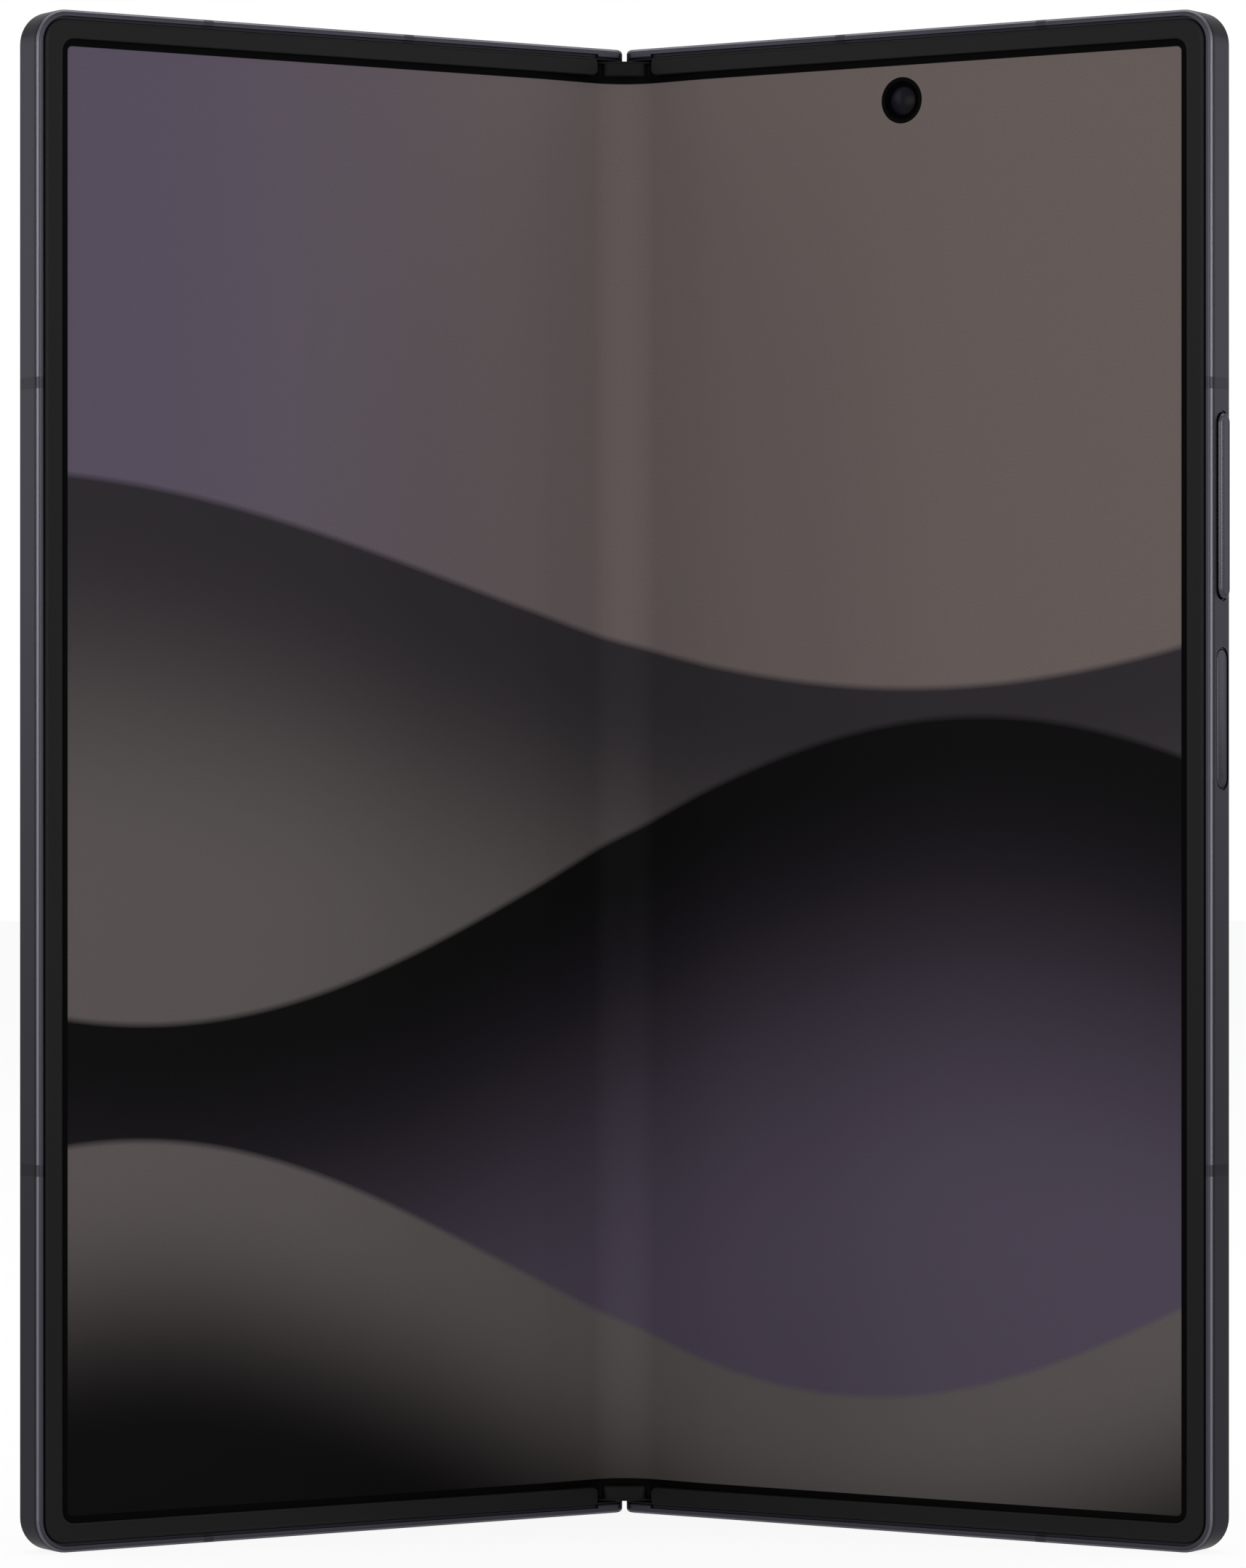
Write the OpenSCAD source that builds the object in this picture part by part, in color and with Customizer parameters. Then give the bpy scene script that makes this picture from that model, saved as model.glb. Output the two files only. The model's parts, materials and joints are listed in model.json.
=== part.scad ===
// Book-style foldable phone, stored half open and standing on its bottom edges.
//
// Two thin halves turn about two upright fold axes on a narrow spine. At each end of the spine
// a train of four small gears keeps the halves mirror images of each other, and two long idler
// shafts carry that motion along the spine to the friction clips. One flexible display spans
// both halves. Near the spine it lies on two wing plates that tilt back as the phone closes,
// so that the display has room for its bend.
//
// Spine frame: +Z up along the hinge, x = 0 in the middle, the display faces -Y.
// Half frame, used for every piece of a half: the fold axis is x = 0, y = 0, +x runs out to
// the half's outer edge, +y runs to its back and z is the height. The left half is a mirror
// image. The origin is on the ground, in the middle of the stored outline.

/* [Whole phone] */
// Height of the phone, along the hinge
phone_h = 158.4; // [156:0.1:161]
// Width of one half laid flat, from the centre line to its outer edge
half_w = 71.6; // [70.6:0.1:73]
// Thickness of one half
half_t = 4.2; // [4.15:0.05:4.4]
// Fold of each half from flat, as stored
rest_fold = 32.5; // [25:0.5:40]
// Corner radius of the outline
corner_r = 3.5; // [3.2:0.1:5]
// Rounding of the frame's long edges
edge_r = 0.45; // [0.3:0.05:0.5]
// Thickness of the frame's outer wall
wall_t = 1.3; // [1.2:0.05:1.5]

/* [Front] */
// Width of the frame's bare rim around the display
rim_w = 0.65; // [0.5:0.05:0.75]
// Gap between the rim and the bezel trim
trim_gap = 0.3; // [0.2:0.05:0.4]
// Width of the bezel trim
trim_w = 2.05; // [1.6:0.05:2.2]
// Corner radius of the trim's outer edge
trim_r = 2.2; // [2:0.1:2.5]
// Corner radius of the trim's inner edge
trim_inner_r = 1.4; // [0.8:0.1:1.8]
// Distance of the inner camera from the centre line
inner_camera_x = 34.8; // [30:0.1:40]
// Distance of the inner camera from the top
inner_camera_drop = 7.4; // [7:0.1:9]

/* [Hinge] */
// Distance of each fold axis from the centre line
fold_x = 1.25; // [1.22:0.01:1.28]
// Depth of the fold axes behind the front faces
fold_depth = 0.95; // [0.93:0.01:0.97]
// Outer radius of the spine about each fold axis
spine_r = 2.4; // [2.38:0.01:2.42]
// Wall of the spine cover
spine_wall = 0.3; // [0.25:0.01:0.3]
// Length of the frame's end caps, which hold the hinge pins
cap_h = 1.2; // [1.1:0.05:1.2]
// Tilt of a wing plate when the phone is closed
wing_tilt = 13; // [11:0.5:13]
// Radius of the display's bend as stored
bend_r = 5.5; // [3.5:0.5:6]

/* [Gears] */
// Gear module
gear_m = 0.12; // [0.12:0.001:0.121]
// Teeth of the pinions on the hinge pins
pinion_teeth = 8; // [8]
// Teeth of the idler gears
idler_teeth = 12; // [12]
// Pressure angle
pressure = 25; // [24:0.5:26]
// Width of a tooth as a share of its pitch
tooth_share = 0.45; // [0.42:0.01:0.46]

/* [Keys] */
// Lower and upper end of the volume key
volume_z = [97.9, 117]; // [90:0.1:120]
// Lower and upper end of the side key
side_z = [78.5, 92.7]; // [75:0.1:95]
// Width of both keys, across the phone's thickness
key_w = 2.1; // [1.6:0.05:2.1]
// Travel of the volume key
volume_travel = 0.25; // [0.2:0.01:0.25]
// Travel of the side key
side_travel = 0.2; // [0.15:0.01:0.25]

/* [Rear cameras] */
// Middle of the camera island, out from the fold axis
island_u = 57; // [55:0.5:58]
// Height of the top lens
lens_top_z = 143; // [140:0.5:144]
// Distance between lenses
lens_pitch = 19.2; // [18.8:0.1:19.6]
// Width of the island
island_w = 19; // [18:0.5:20]
// How far the island stands out of the back
island_h = 1.5; // [1:0.1:2]
// Outer radius of a lens ring
ring_r = 8.4; // [8:0.1:8.8]

/* [Hidden] */
$fn = 64;

half_u = half_w - fold_x;

// Depths of the layers, from the front face to the back face
front_v = -fold_depth;
back_v = front_v + half_t;
trim_v = front_v + 0.05;
screen_v = front_v + 0.35;
screen_t = 0.5;
mid_v = screen_v + screen_t;
mid_t = 0.4;
room_v = mid_v + mid_t;
glass_t = 0.45;
glass_v = back_v - glass_t;
cover_panel_t = 0.35;
cover_panel_v = glass_v - cover_panel_t;

// Boards lie above the mid plate, clear of it by a component's height
board_v = [0.9, 1.5];
pack_gap = 0.1;

// Margins in from the outer edge
slip = 0.05;
trim_margin = rim_w + trim_gap;
panel_margin = wall_t + slip;
back_rim_w = 0.9;
panel_corner_r = 2.1;

// Hinge
lip_u = 0.05 - fold_x;
channel_r = spine_r + 0.12;
spine_gap = 0.1;
spine_z = cap_h + spine_gap;
cover_open = 10;
block_r = spine_r - spine_wall - 0.02;
trough_y = 0.65;
bay_z = spine_z + 0.3;
bay_end_z = bay_z + 1.1;
strip_z = bay_end_z + 0.35;
pin_r = 0.3;
running_gap = 0.035;
end_block_len = 9;
pin_root_z = 0.35;
guard_y = front_v + 0.1;
guard_t = 0.22;
guard_bar = [5.7, 0.25];
guard_hood = [4.8, 0.8];
hood_wall = 0.2;
pin_plate_w = guard_hood.x - 2 * hood_wall - 0.1;
web_u = 1;
web_v = 2.2;
back_edge_u = 1.6;
notch_u = 2.85;
lip_rim_w = 1.05;
lip_edge_r = 0.2;

// Gear train: the pinions turn on the fold axes, the idlers between and behind them
idler_x = gear_m * idler_teeth / 2;
idler_y = sqrt(pow(gear_m * (pinion_teeth + idler_teeth) / 2, 2) - pow(fold_x - idler_x, 2));
gear_z = [bay_z + 0.1, bay_end_z - 0.1];
idler_pitch = 360 / idler_teeth;
pinion_pitch = 360 / pinion_teeth;
left_idler_turn = 0;
right_idler_turn = 180 - idler_pitch / 2;

// Carriers of the idler shafts between the ends
carrier_len = 5;
carrier_zs = [30, 58, 100.4, 128.4];

// Wing plates
wing_u = 9.2;
wing_v = 0.25;
wing_inner_u = 1;
wing_t = 0.25;
wing_barrel_r = 0.28;
wing_pin_r = 0.15;
wing_len = 8;
ear_len = 2;
ear_r = 0.3;
wing_stations = [20, 59.5, 99, 138.4];
pocket_u = 9.6;
pocket_v = 0.7;
rest_tilt = wing_tilt * rest_fold / 90;

// Display bend, as stored
slope = rest_fold + rest_tilt;
strip_v = wing_v - screen_v;
pivot = [
    fold_x + wing_u * cos(rest_fold) + wing_v * sin(rest_fold),
    wing_v * cos(rest_fold) - wing_u * sin(rest_fold)
];
bend_y = pivot.y + (pivot.x * sin(slope) - strip_v - bend_r) / cos(slope);
flat_len = (pivot.x - strip_v * sin(slope) - bend_r * sin(slope)) / cos(slope);

// Shift that puts the origin in the middle of the stored outline
deepest_y = -lip_u * sin(rest_fold) + (back_v - 0.1) * cos(rest_fold);
nearest_y = -(half_u - edge_r) * sin(rest_fold) + (front_v + edge_r) * cos(rest_fold) - edge_r;
shift_y = -(deepest_y + nearest_y) / 2;

// Board screws: heights and distances from the fold axis
screw_r = 0.6;
screw_head = [1, 0.45];
left_screws_at = [[14, 124], [42, 124], [14, 153], [42, 153]];
right_screws_at = [[13.2, 96], [46.7, 96], [14, 148], [46.7, 146], [30, 27], [41.5, 27]];

// Antenna bands
band_w = 1.2;
side_bands = [39.3, 120];
end_band_u = 51.6 - fold_x;
top_band_u = 27.4 - fold_x;

// Keys
key_v = 1.45;
key_gap = 0.08;
volume_proud = 0.45;
side_sunk = 0.02;
flange_t = 0.4;
key_back_u = half_u - wall_t - slip - flange_t;

// Cameras
inner_camera_u = inner_camera_x - fold_x;
inner_camera_z = phone_h - inner_camera_drop;
inner_camera_r = 1.95;
lens_zs = [for (i = [0:2]) lens_top_z - i * lens_pitch];
lens_r = 6.2;
module_r = 6;
flash_u = 44.2;
flash_z = lens_top_z;
flash_r = 1.8;
cover_camera_u = half_u / 2;
cover_camera_z = phone_h - 7;
cover_camera_r = 1.9;

// Ports along the bottom and top edges
usb_u = 35.2;
usb_size = [8.34, 2.56];
usb_wall = 0.15;
usb_depth = 6.4;
usb_v = mid_v + usb_wall + usb_size.y / 2;
tray_u = [12.5, 25.5];
tray_v = [0.85, 1.85];
tray_len = 24;
slot_size = [2.2, 0.9];
slot_pitch = 2.9;
slot_v = 1.2;
speaker_slot_u = [for (i = [0:4]) 53.2 + i * slot_pitch];

// ---------- Placing ----------

module on_spine() translate([0, shift_y, 0]) children();

module on_right() {
    on_spine() translate([fold_x, 0, 0]) rotate([0, 0, -rest_fold]) children();
}

module on_left() mirror([1, 0, 0]) on_right() children();

// In a half's frame: about the wing plate's pin, from flat to its stored tilt
module on_wing() {
    translate([wing_u, wing_v, 0]) rotate([0, 0, -rest_tilt]) translate([-wing_u, -wing_v, 0])
        children();
}

// Draws the children at the bottom end and mirrored at the top end
module both_ends() {
    children();
    at_top() children();
}

module at_top() translate([0, 0, phone_h]) mirror([0, 0, 1]) children();

// Extrudes an outline (x = out, y = height) between two depths
module plate(front, back) {
    translate([0, back, 0]) rotate([90, 0, 0]) linear_extrude(back - front) children();
}

// Extrudes a section (x = out, y = depth) between two heights
module upright(low, high) translate([0, 0, low]) linear_extrude(high - low) children();

// Extrudes a section (x = depth, y = height) outwards between two distances
module outward(near, far) {
    translate([near, 0, 0]) rotate([90, 0, 90]) linear_extrude(far - near) children();
}

// ---------- Outlines ----------

module rounded_rect(low, high, r) {
    size = high - low;
    translate([low.x + r, low.y]) square([size.x - 2 * r, size.y]);
    translate([low.x, low.y + r]) square([size.x, size.y - 2 * r]);
    for (x = [low.x + r, high.x - r], y = [low.y + r, high.y - r])
        translate([x, y]) circle(r);
}

// Slot with half-round ends, centred
module pill(w, h) {
    r = min(w, h) / 2;
    reach = [w / 2 - r, h / 2 - r];
    square([w > h ? 2 * reach.x : w, w > h ? h : 2 * reach.y], center = true);
    for (side = [-1, 1])
        translate(side * reach) circle(r);
}

// Sheet of a half: straight at the hinge, a margin in from the outline's other three sides
module half_sheet(inner_u, margin, r) {
    intersection() {
        rounded_rect([inner_u - 2 * r - 1, margin], [half_u - margin, phone_h - margin], r);
        translate([inner_u, 0]) square([half_u, phone_h]);
    }
}

// Involute gear. A tooth's flank is the involute of the base circle, from root to tip
function involute(base, roll) = [
    base * (cos(roll) + roll * PI / 180 * sin(roll)),
    base * (sin(roll) - roll * PI / 180 * cos(roll))
];
function roll_at(base, r) = sqrt(max(0, pow(r / base, 2) - 1)) * 180 / PI;
function turned(p, a) = [p.x * cos(a) - p.y * sin(a), p.x * sin(a) + p.y * cos(a)];
function flipped(p) = [p.x, -p.y];

function tooth(teeth) =
    let (
        pitch_r = gear_m * teeth / 2,
        base = pitch_r * cos(pressure),
        tip_r = pitch_r + gear_m,
        root_r = pitch_r - 1.2 * gear_m,
        at_pitch = involute(base, roll_at(base, pitch_r)),
        half_tooth = 180 * tooth_share / teeth + atan2(at_pitch.y, at_pitch.x),
        rolls = [for (i = [0:3]) roll_at(base, base + (tip_r - base) * i / 3)],
        flank = [for (roll = rolls) flipped(turned(involute(base, roll), -half_tooth))],
        foot = turned([root_r, 0], half_tooth)
    )
    [flipped(foot), for (p = flank) flipped(p), for (i = [3:-1:0]) flank[i], foot];

module gear_outline(teeth) {
    polygon([
        for (i = [0:teeth - 1], p = tooth(teeth)) turned(p, i * 360 / teeth)
    ]);
}

// Turn of a pinion that puts it in mesh with an idler at a given turn
function pinion_turn(pinion, idler, idler_turn) =
    let (
        to_pinion = atan2(pinion.y - idler.y, pinion.x - idler.x),
        idler_share = (to_pinion - idler_turn) / idler_pitch
    )
    to_pinion + 180 - pinion_pitch * (0.5 - idler_share);

// ---------- Shapes of a half ----------

// Section of the outer wall: x = distance in from the outer face, y = depth
module wall_section() {
    difference() {
        union() {
            translate([0, front_v + edge_r]) square([wall_t, half_t - 2 * edge_r]);
            translate([edge_r, front_v]) square([wall_t - edge_r, half_t]);
            for (v = [front_v + edge_r, back_v - edge_r])
                translate([edge_r, v]) circle(edge_r);
        }
        translate([rim_w, front_v - 1]) square([wall_t, 1 + screen_v - front_v]);
        translate([back_rim_w, glass_v]) square([wall_t, half_t]);
    }
}

// The wall runs along the bottom, round the corner, up the outer side and back along the top
module outer_wall() {
    translate([half_u, 0, corner_r]) linear_extrude(phone_h - 2 * corner_r)
        mirror([1, 0]) wall_section();
    both_ends() {
        translate([half_u - corner_r, 0, corner_r]) rotate([-90, 0, 0])
            rotate_extrude(angle = 90) translate([corner_r, 0]) mirror([1, 0]) wall_section();
        translate([half_u - corner_r, 0, 0]) rotate([0, -90, 0])
            linear_extrude(half_u - corner_r - lip_u) wall_section();
    }
}

// Section of the hinge side: back lip, channel wall and the floor of the wing plate's pocket
module hinge_side_section(seat_v) {
    bevel = 0.25;
    difference() {
        polygon([
            [lip_u, 0], [lip_u, back_v - bevel], [lip_u + bevel, back_v],
            [back_edge_u, back_v], [back_edge_u, seat_v], [pocket_u + 1, seat_v],
            [pocket_u + 1, mid_v], [pocket_u, mid_v], [pocket_u, pocket_v], [web_u, web_v],
            [web_u, 0]
        ]);
        channel_section();
    }
}

// Room for the spine: round about the fold axis, flat towards the centre line
module channel_section() {
    circle(channel_r);
    translate([-2 * fold_x, 0]) square([2 * fold_x, channel_r]);
}

// Ears of the frame that hold the wing plate's pins
module wing_ears() {
    for (z = wing_stations, side = [-1, 1])
        translate([0, 0, z + side * (wing_len + ear_len + 0.1) / 2])
            upright(-ear_len / 2, ear_len / 2) {
                translate([wing_u - ear_r, wing_v - ear_r])
                    square([pocket_u - wing_u + ear_r + 0.1, 3 * ear_r]);
                translate([wing_u - ear_r, pocket_v - 0.2]) square([0.7, 0.5]);
            }
}

// Wider rim beside the centre line, where the trims end
module lip_rim() {
    both_ends() outward(lip_u, channel_r - slip) {
        translate([front_v, rim_w - slip])
            square([screen_v - front_v, lip_rim_w - lip_edge_r - rim_w + slip]);
        translate([front_v + lip_edge_r, lip_rim_w - 2 * lip_edge_r])
            square([screen_v - front_v - lip_edge_r, 2 * lip_edge_r]);
        translate([front_v + lip_edge_r, lip_rim_w - lip_edge_r]) circle(lip_edge_r);
    }
}

// Carries the rounding of the frame's long edges round the fold axis and down the lip
module lip_corners() {
    both_ends() {
        rotate([0, 0, 180]) rotate_extrude(angle = 90) edge_corner(fold_depth);
        plate(0, half_t) mirror([1, 0]) edge_corner(-lip_u);
    }
}

// What a rounded edge leaves out at an outer corner that far out, at the ground
module edge_corner(reach) {
    translate([reach - edge_r, -1]) difference() {
        square(1 + edge_r);
        translate([0, 1 + edge_r]) circle(edge_r);
    }
}

module half_frame(seat_v) {
    difference() {
        union() {
            outer_wall();
            lip_rim();
            plate(mid_v, room_v) half_sheet(pocket_u, rim_w, corner_r - rim_w);
            upright(cap_h, phone_h - cap_h) hinge_side_section(seat_v);
            wing_ears();
        }
        lip_corners();
        upright(cap_h, phone_h - cap_h) channel_section();
        upright(-1, phone_h + 1) difference() {
            translate([-2 * fold_x, -half_t]) square([2 * fold_x, half_t]);
            circle(fold_depth);
        }
        both_ends() upright(pin_root_z, cap_h + 1) circle(pin_r);
        for (z = wing_stations)
            translate([wing_u, wing_v, z]) cylinder(r = wing_pin_r, h = 20, center = true);
    }
}

// Slots in the outer wall for the antenna bands
module band_slots() {
    for (z = side_bands)
        translate([half_u - wall_t, -half_t, z - band_w / 2]) cube([2 * wall_t, 3 * half_t, band_w]);
    both_ends() band_slot(end_band_u);
    at_top() band_slot(top_band_u);
}

module band_slot(u) {
    translate([u - band_w / 2, -half_t, -wall_t]) cube([band_w, 3 * half_t, 2 * wall_t]);
}

module antenna_bands() {
    color("dimgray") intersection() {
        outer_wall();
        band_slots();
    }
}

module bezel_trim() {
    end_r = 0.6;
    inner = trim_margin + trim_w;
    color("#1f1f21") plate(trim_v, screen_v) {
        difference() {
            half_sheet(channel_r + end_r, trim_margin, trim_r);
            translate([0, inner]) rounded_rect(
                [-10, 0], [half_u - inner, phone_h - 2 * inner], trim_inner_r
            );
        }
        for (low = [trim_margin, phone_h - inner])
            rounded_rect([channel_r, low], [channel_r + 4 * end_r, low + trim_w], end_r);
    }
}

module display_panel() plate(screen_v, mid_v) half_sheet(wing_u, panel_margin, panel_corner_r);

module hinge_pins(x, turn) {
    both_ends() {
        translate([x, 0, 0]) upright(pin_root_z, bay_end_z + 0.25) circle(pin_r);
        translate([x, 0, 0]) rotate([0, 0, turn])
            upright(gear_z[0], gear_z[1]) gear_outline(pinion_teeth);
    }
}

module wing_plate() {
    end_z = spine_z + 0.3;
    color("gainsboro") on_wing() difference() {
        union() {
            plate(mid_v + 0.02, mid_v + wing_t) difference() {
                translate([wing_inner_u, end_z])
                    square([wing_u - 0.1 - wing_inner_u, phone_h - 2 * end_z]);
                for (z = [0, phone_h - strip_z - 0.1])
                    translate([0, z]) square([notch_u + 0.1, strip_z + 0.1]);
                for (z = wing_stations, side = [-1, 1])
                    translate([wing_u - 0.65, z + side * (wing_len + ear_len + 0.1) / 2])
                        square([1.3, ear_len + 0.3], center = true);
            }
            for (z = wing_stations)
                translate([wing_u, wing_v, z])
                    cylinder(r = wing_barrel_r, h = wing_len, center = true);
        }
        for (z = wing_stations)
            translate([wing_u, wing_v, z])
                cylinder(r = wing_pin_r + 0.03, h = wing_len + 1, center = true);
    }
}

module wing_pins() {
    color("silver") for (z = wing_stations)
        translate([wing_u, wing_v, z])
            cylinder(r = wing_pin_r, h = wing_len + 2 * ear_len + 0.1, center = true);
}

// Pan-head screws that hold the boards down on the mid plate
module screws(places) {
    color("silver") for (at = places)
        translate([at.x, 0, at.y]) {
            plate(room_v, board_v[1]) circle(screw_r);
            plate(board_v[1], board_v[1] + screw_head.y) difference() {
                circle(screw_head.x);
                square([1.1, 0.25], center = true);
                square([0.25, 1.1], center = true);
            }
        }
}

module screw_holes(places) {
    for (at = places)
        translate([at.x, 0, at.y]) plate(0, 2 * board_v[1]) circle(screw_r + slip);
}

module magnets() {
    color("silver") for (z = [24, 132])
        translate([half_u - wall_t - 1.8, room_v + 0.1, z]) cube([1.6, 1.8, 10]);
}

// ---------- Spine ----------

module spine_section(r) {
    for (x = [-fold_x, fold_x])
        translate([x, 0]) circle(r);
    translate([-fold_x, 0]) square([2 * fold_x, r]);
}

module below(y) {
    intersection() {
        children();
        translate([-10, y]) square([20, 10]);
    }
}

module hinge_cover() {
    color("#3a3a40") on_spine() upright(spine_z, phone_h - spine_z)
        below(spine_r * sin(cover_open)) difference() {
            spine_section(spine_r);
            spine_section(spine_r - spine_wall);
            translate([-fold_x - spine_r, -spine_r]) square([2 * fold_x + 2 * spine_r, spine_r]);
        }
}

module idler_holes() {
    for (x = [-idler_x, idler_x])
        translate([x, idler_y]) circle(pin_r + running_gap);
}

// Section of an end block where it also carries the hinge pins, up to the guard
module pin_plate_section() {
    difference() {
        union() {
            below(0) spine_section(block_r);
            translate([-pin_plate_w / 2, guard_y + guard_t]) square([pin_plate_w, 1]);
        }
        idler_holes();
        for (x = [-fold_x, fold_x])
            translate([x, 0]) circle(pin_r + running_gap);
    }
}

module hinge_end_blocks() {
    color("slategray") on_spine() both_ends() {
        upright(spine_z, bay_z) pin_plate_section();
        upright(bay_z, bay_end_z) difference() {
            below(0) spine_section(block_r);
            translate([-2, -5]) square([4, 10]);
        }
        upright(bay_end_z, bay_end_z + 0.3) pin_plate_section();
        upright(bay_end_z, spine_z + end_block_len) difference() {
            below(trough_y) spine_section(block_r);
            idler_holes();
        }
    }
}

// T-shaped guard over the gears: a bar against the frame's end and a hood below it
module hinge_guard() {
    color("#202022") on_spine() {
        translate([-guard_bar.x / 2, guard_y, spine_z]) cube([guard_bar.x, guard_t, guard_bar.y]);
        difference() {
            translate([-guard_hood.x / 2, guard_y, spine_z])
                cube([guard_hood.x, guard_hood.y, strip_z - 0.2 - spine_z]);
            translate([hood_wall - guard_hood.x / 2, guard_y + guard_t, 0])
                cube([guard_hood.x - 2 * hood_wall, 2, 10]);
        }
    }
}

module bottom_hinge_guard() hinge_guard();

module top_hinge_guard() at_top() hinge_guard();

module shaft_carriers() {
    color("slategray") on_spine() for (z = carrier_zs)
        translate([0, 0, z]) upright(-carrier_len / 2, carrier_len / 2) difference() {
            below(trough_y) spine_section(block_r);
            idler_holes();
        }
}

// Spring-steel clips that grip both idler shafts and hold the phone at any angle
module friction_clips() {
    clip_t = 0.5;
    clip_r = 0.48;
    clip_pitch = 0.7;
    clips = 8;
    color("silver") on_spine() for (carrier = [0, 2], i = [0:clips - 1])
        translate([0, 0, carrier_zs[carrier] + carrier_len / 2 + 0.4 + i * clip_pitch])
            linear_extrude(clip_t) difference() {
                union() {
                    for (x = [-idler_x, idler_x])
                        translate([x, idler_y]) circle(clip_r);
                    translate([-idler_x, idler_y + 0.1]) square([2 * idler_x, clip_r - 0.1]);
                }
                idler_holes();
                for (side = [-1, 1])
                    translate([side * idler_x - 0.12, idler_y - 1]) square([0.24, 1]);
            }
}

module idler_shaft(x, turn) {
    color("lightsteelblue") on_spine() translate([x, idler_y, 0]) {
        upright(spine_z + 0.02, phone_h - spine_z - 0.02) circle(pin_r);
        both_ends() rotate([0, 0, turn]) upright(gear_z[0], gear_z[1]) gear_outline(idler_teeth);
    }
}

module left_idler_shaft() idler_shaft(-idler_x, left_idler_turn);

module right_idler_shaft() idler_shaft(idler_x, right_idler_turn);

// Flexible part of the display. Each side lies on a wing plate and a bend joins them
module fold_display() {
    color("#141416") on_spine() difference() {
        upright(panel_margin, phone_h - panel_margin) {
            for (flip = [0, 1])
                mirror([flip, 0]) translate([fold_x, 0]) rotate(-rest_fold) on_wing_section()
                    translate([wing_u - flat_len, screen_v]) square([flat_len, screen_t]);
            intersection() {
                translate([0, bend_y]) difference() {
                    circle(bend_r + screen_t, $fn = 128);
                    circle(bend_r, $fn = 128);
                }
                translate([0, bend_y])
                    polygon([[0, 0], [-9 * sin(slope), 9 * cos(slope)], [0, 20],
                        [9 * sin(slope), 9 * cos(slope)]]);
            }
        }
        both_ends() translate([-notch_u, -10, -1]) cube([2 * notch_u, 20, strip_z + 1]);
    }
}

module on_wing_section() {
    translate([wing_u, wing_v]) rotate(-rest_tilt) translate([-wing_u, -wing_v]) children();
}

// ---------- Left half ----------

module left_frame() {
    color("#45454c") on_left() difference() {
        half_frame(cover_panel_v);
        band_slots();
        at_top() speaker_slots();
        at_top() microphone_hole(46.5);
    }
}

// Speaker slots through the end wall
module speaker_slots() {
    for (u = speaker_slot_u)
        translate([u, slot_v, 0]) upright(-1, 2 * wall_t) pill(slot_size.x, slot_size.y);
}

module microphone_hole(u) translate([u, slot_v, 0]) upright(-1, 2 * wall_t) circle(0.4);

module left_antenna_bands() on_left() antenna_bands();

module left_bezel_trim() on_left() bezel_trim();

module left_display_panel() color("#141416") on_left() display_panel();

module left_hinge_pins() {
    color("lightsteelblue") on_spine() hinge_pins(
        -fold_x, pinion_turn([-fold_x, 0], [-idler_x, idler_y], left_idler_turn)
    );
}

module left_wing_plate() on_left() wing_plate();

module left_wing_pins() on_left() wing_pins();

module left_battery() {
    color("#303338") on_left() plate(room_v + pack_gap, cover_panel_v - 0.2)
        rounded_rect([12, 30], [66, 118], 1.5);
}

module sub_board() {
    color("darkgreen") on_left() difference() {
        plate(board_v[0], board_v[1]) rounded_rect([12, 122], [44, 155], 1);
        screw_holes(left_screws_at);
        translate([cover_camera_u, 0, cover_camera_z]) rotate([-90, 0, 0]) cylinder(r = 3.2, h = 5);
    }
}

module cover_display_panel() {
    color("#101012") on_left() difference() {
        plate(cover_panel_v, glass_v) half_sheet(3.2, 2.2, 2.4);
        translate([cover_camera_u, 0, cover_camera_z]) rotate([-90, 0, 0])
            cylinder(r = cover_camera_r + 0.05, h = 5);
    }
}

module cover_glass() {
    color("#0c0c0e") on_left()
        plate(glass_v, back_v) half_sheet(back_edge_u, back_rim_w, corner_r - back_rim_w);
}

module cover_camera() {
    color("black") on_left() {
        plate(room_v + 0.2, glass_v) translate([cover_camera_u, cover_camera_z])
            circle(cover_camera_r);
        plate(room_v + 0.2, 1.9) translate([cover_camera_u - 2.2, cover_camera_z - 2.2])
            square(4.4);
    }
}

module earpiece_speaker() {
    color("#2a2a2e") on_left() plate(room_v + pack_gap, cover_panel_v - pack_gap)
        rounded_rect([51.5, 143], [66, 156.5], 1);
}

module vibration_motor() {
    color("silver") on_left() plate(room_v + pack_gap, cover_panel_v - pack_gap)
        rounded_rect([48, 6], [62, 15], 1.2);
}

module left_magnets() on_left() magnets();

module left_screws() on_left() screws(left_screws_at);

// ---------- Right half ----------

module right_frame() {
    color("#45454c") on_right() difference() {
        half_frame(glass_v);
        band_slots();
        speaker_slots();
        microphone_hole(46.5);
        at_top() microphone_hole(20);
        usb_space();
        translate([tray_u[0] - 0.06, tray_v[0] - 0.06, -1])
            cube([tray_u[1] - tray_u[0] + 0.12, tray_v[1] - tray_v[0] + 0.12, 5]);
        key_slot(volume_z);
        key_slot(side_z);
        translate([inner_camera_u, 0, inner_camera_z]) rotate([-90, 0, 0])
            cylinder(r = inner_camera_r + 0.05, h = 10, center = true);
    }
}

module key_outline(span, grow) {
    translate([key_v, (span[0] + span[1]) / 2])
        pill(key_w + 2 * grow, span[1] - span[0] + 2 * grow);
}

module key_slot(span) {
    outward(half_u - 2 * wall_t, half_u + 1) key_outline(span, key_gap);
    outward(half_u - 0.12, half_u + 1) key_outline(span, 0.25);
}

module key(span, proud) {
    outward(key_back_u + flange_t, half_u + proud) key_outline(span, 0);
    outward(key_back_u, key_back_u + flange_t)
        translate([key_v - key_w / 2, span[0] - 0.5]) square([key_w, span[1] - span[0] + 1]);
}

module volume_key() color("#4a4a51") on_right() key(volume_z, volume_proud);

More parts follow.
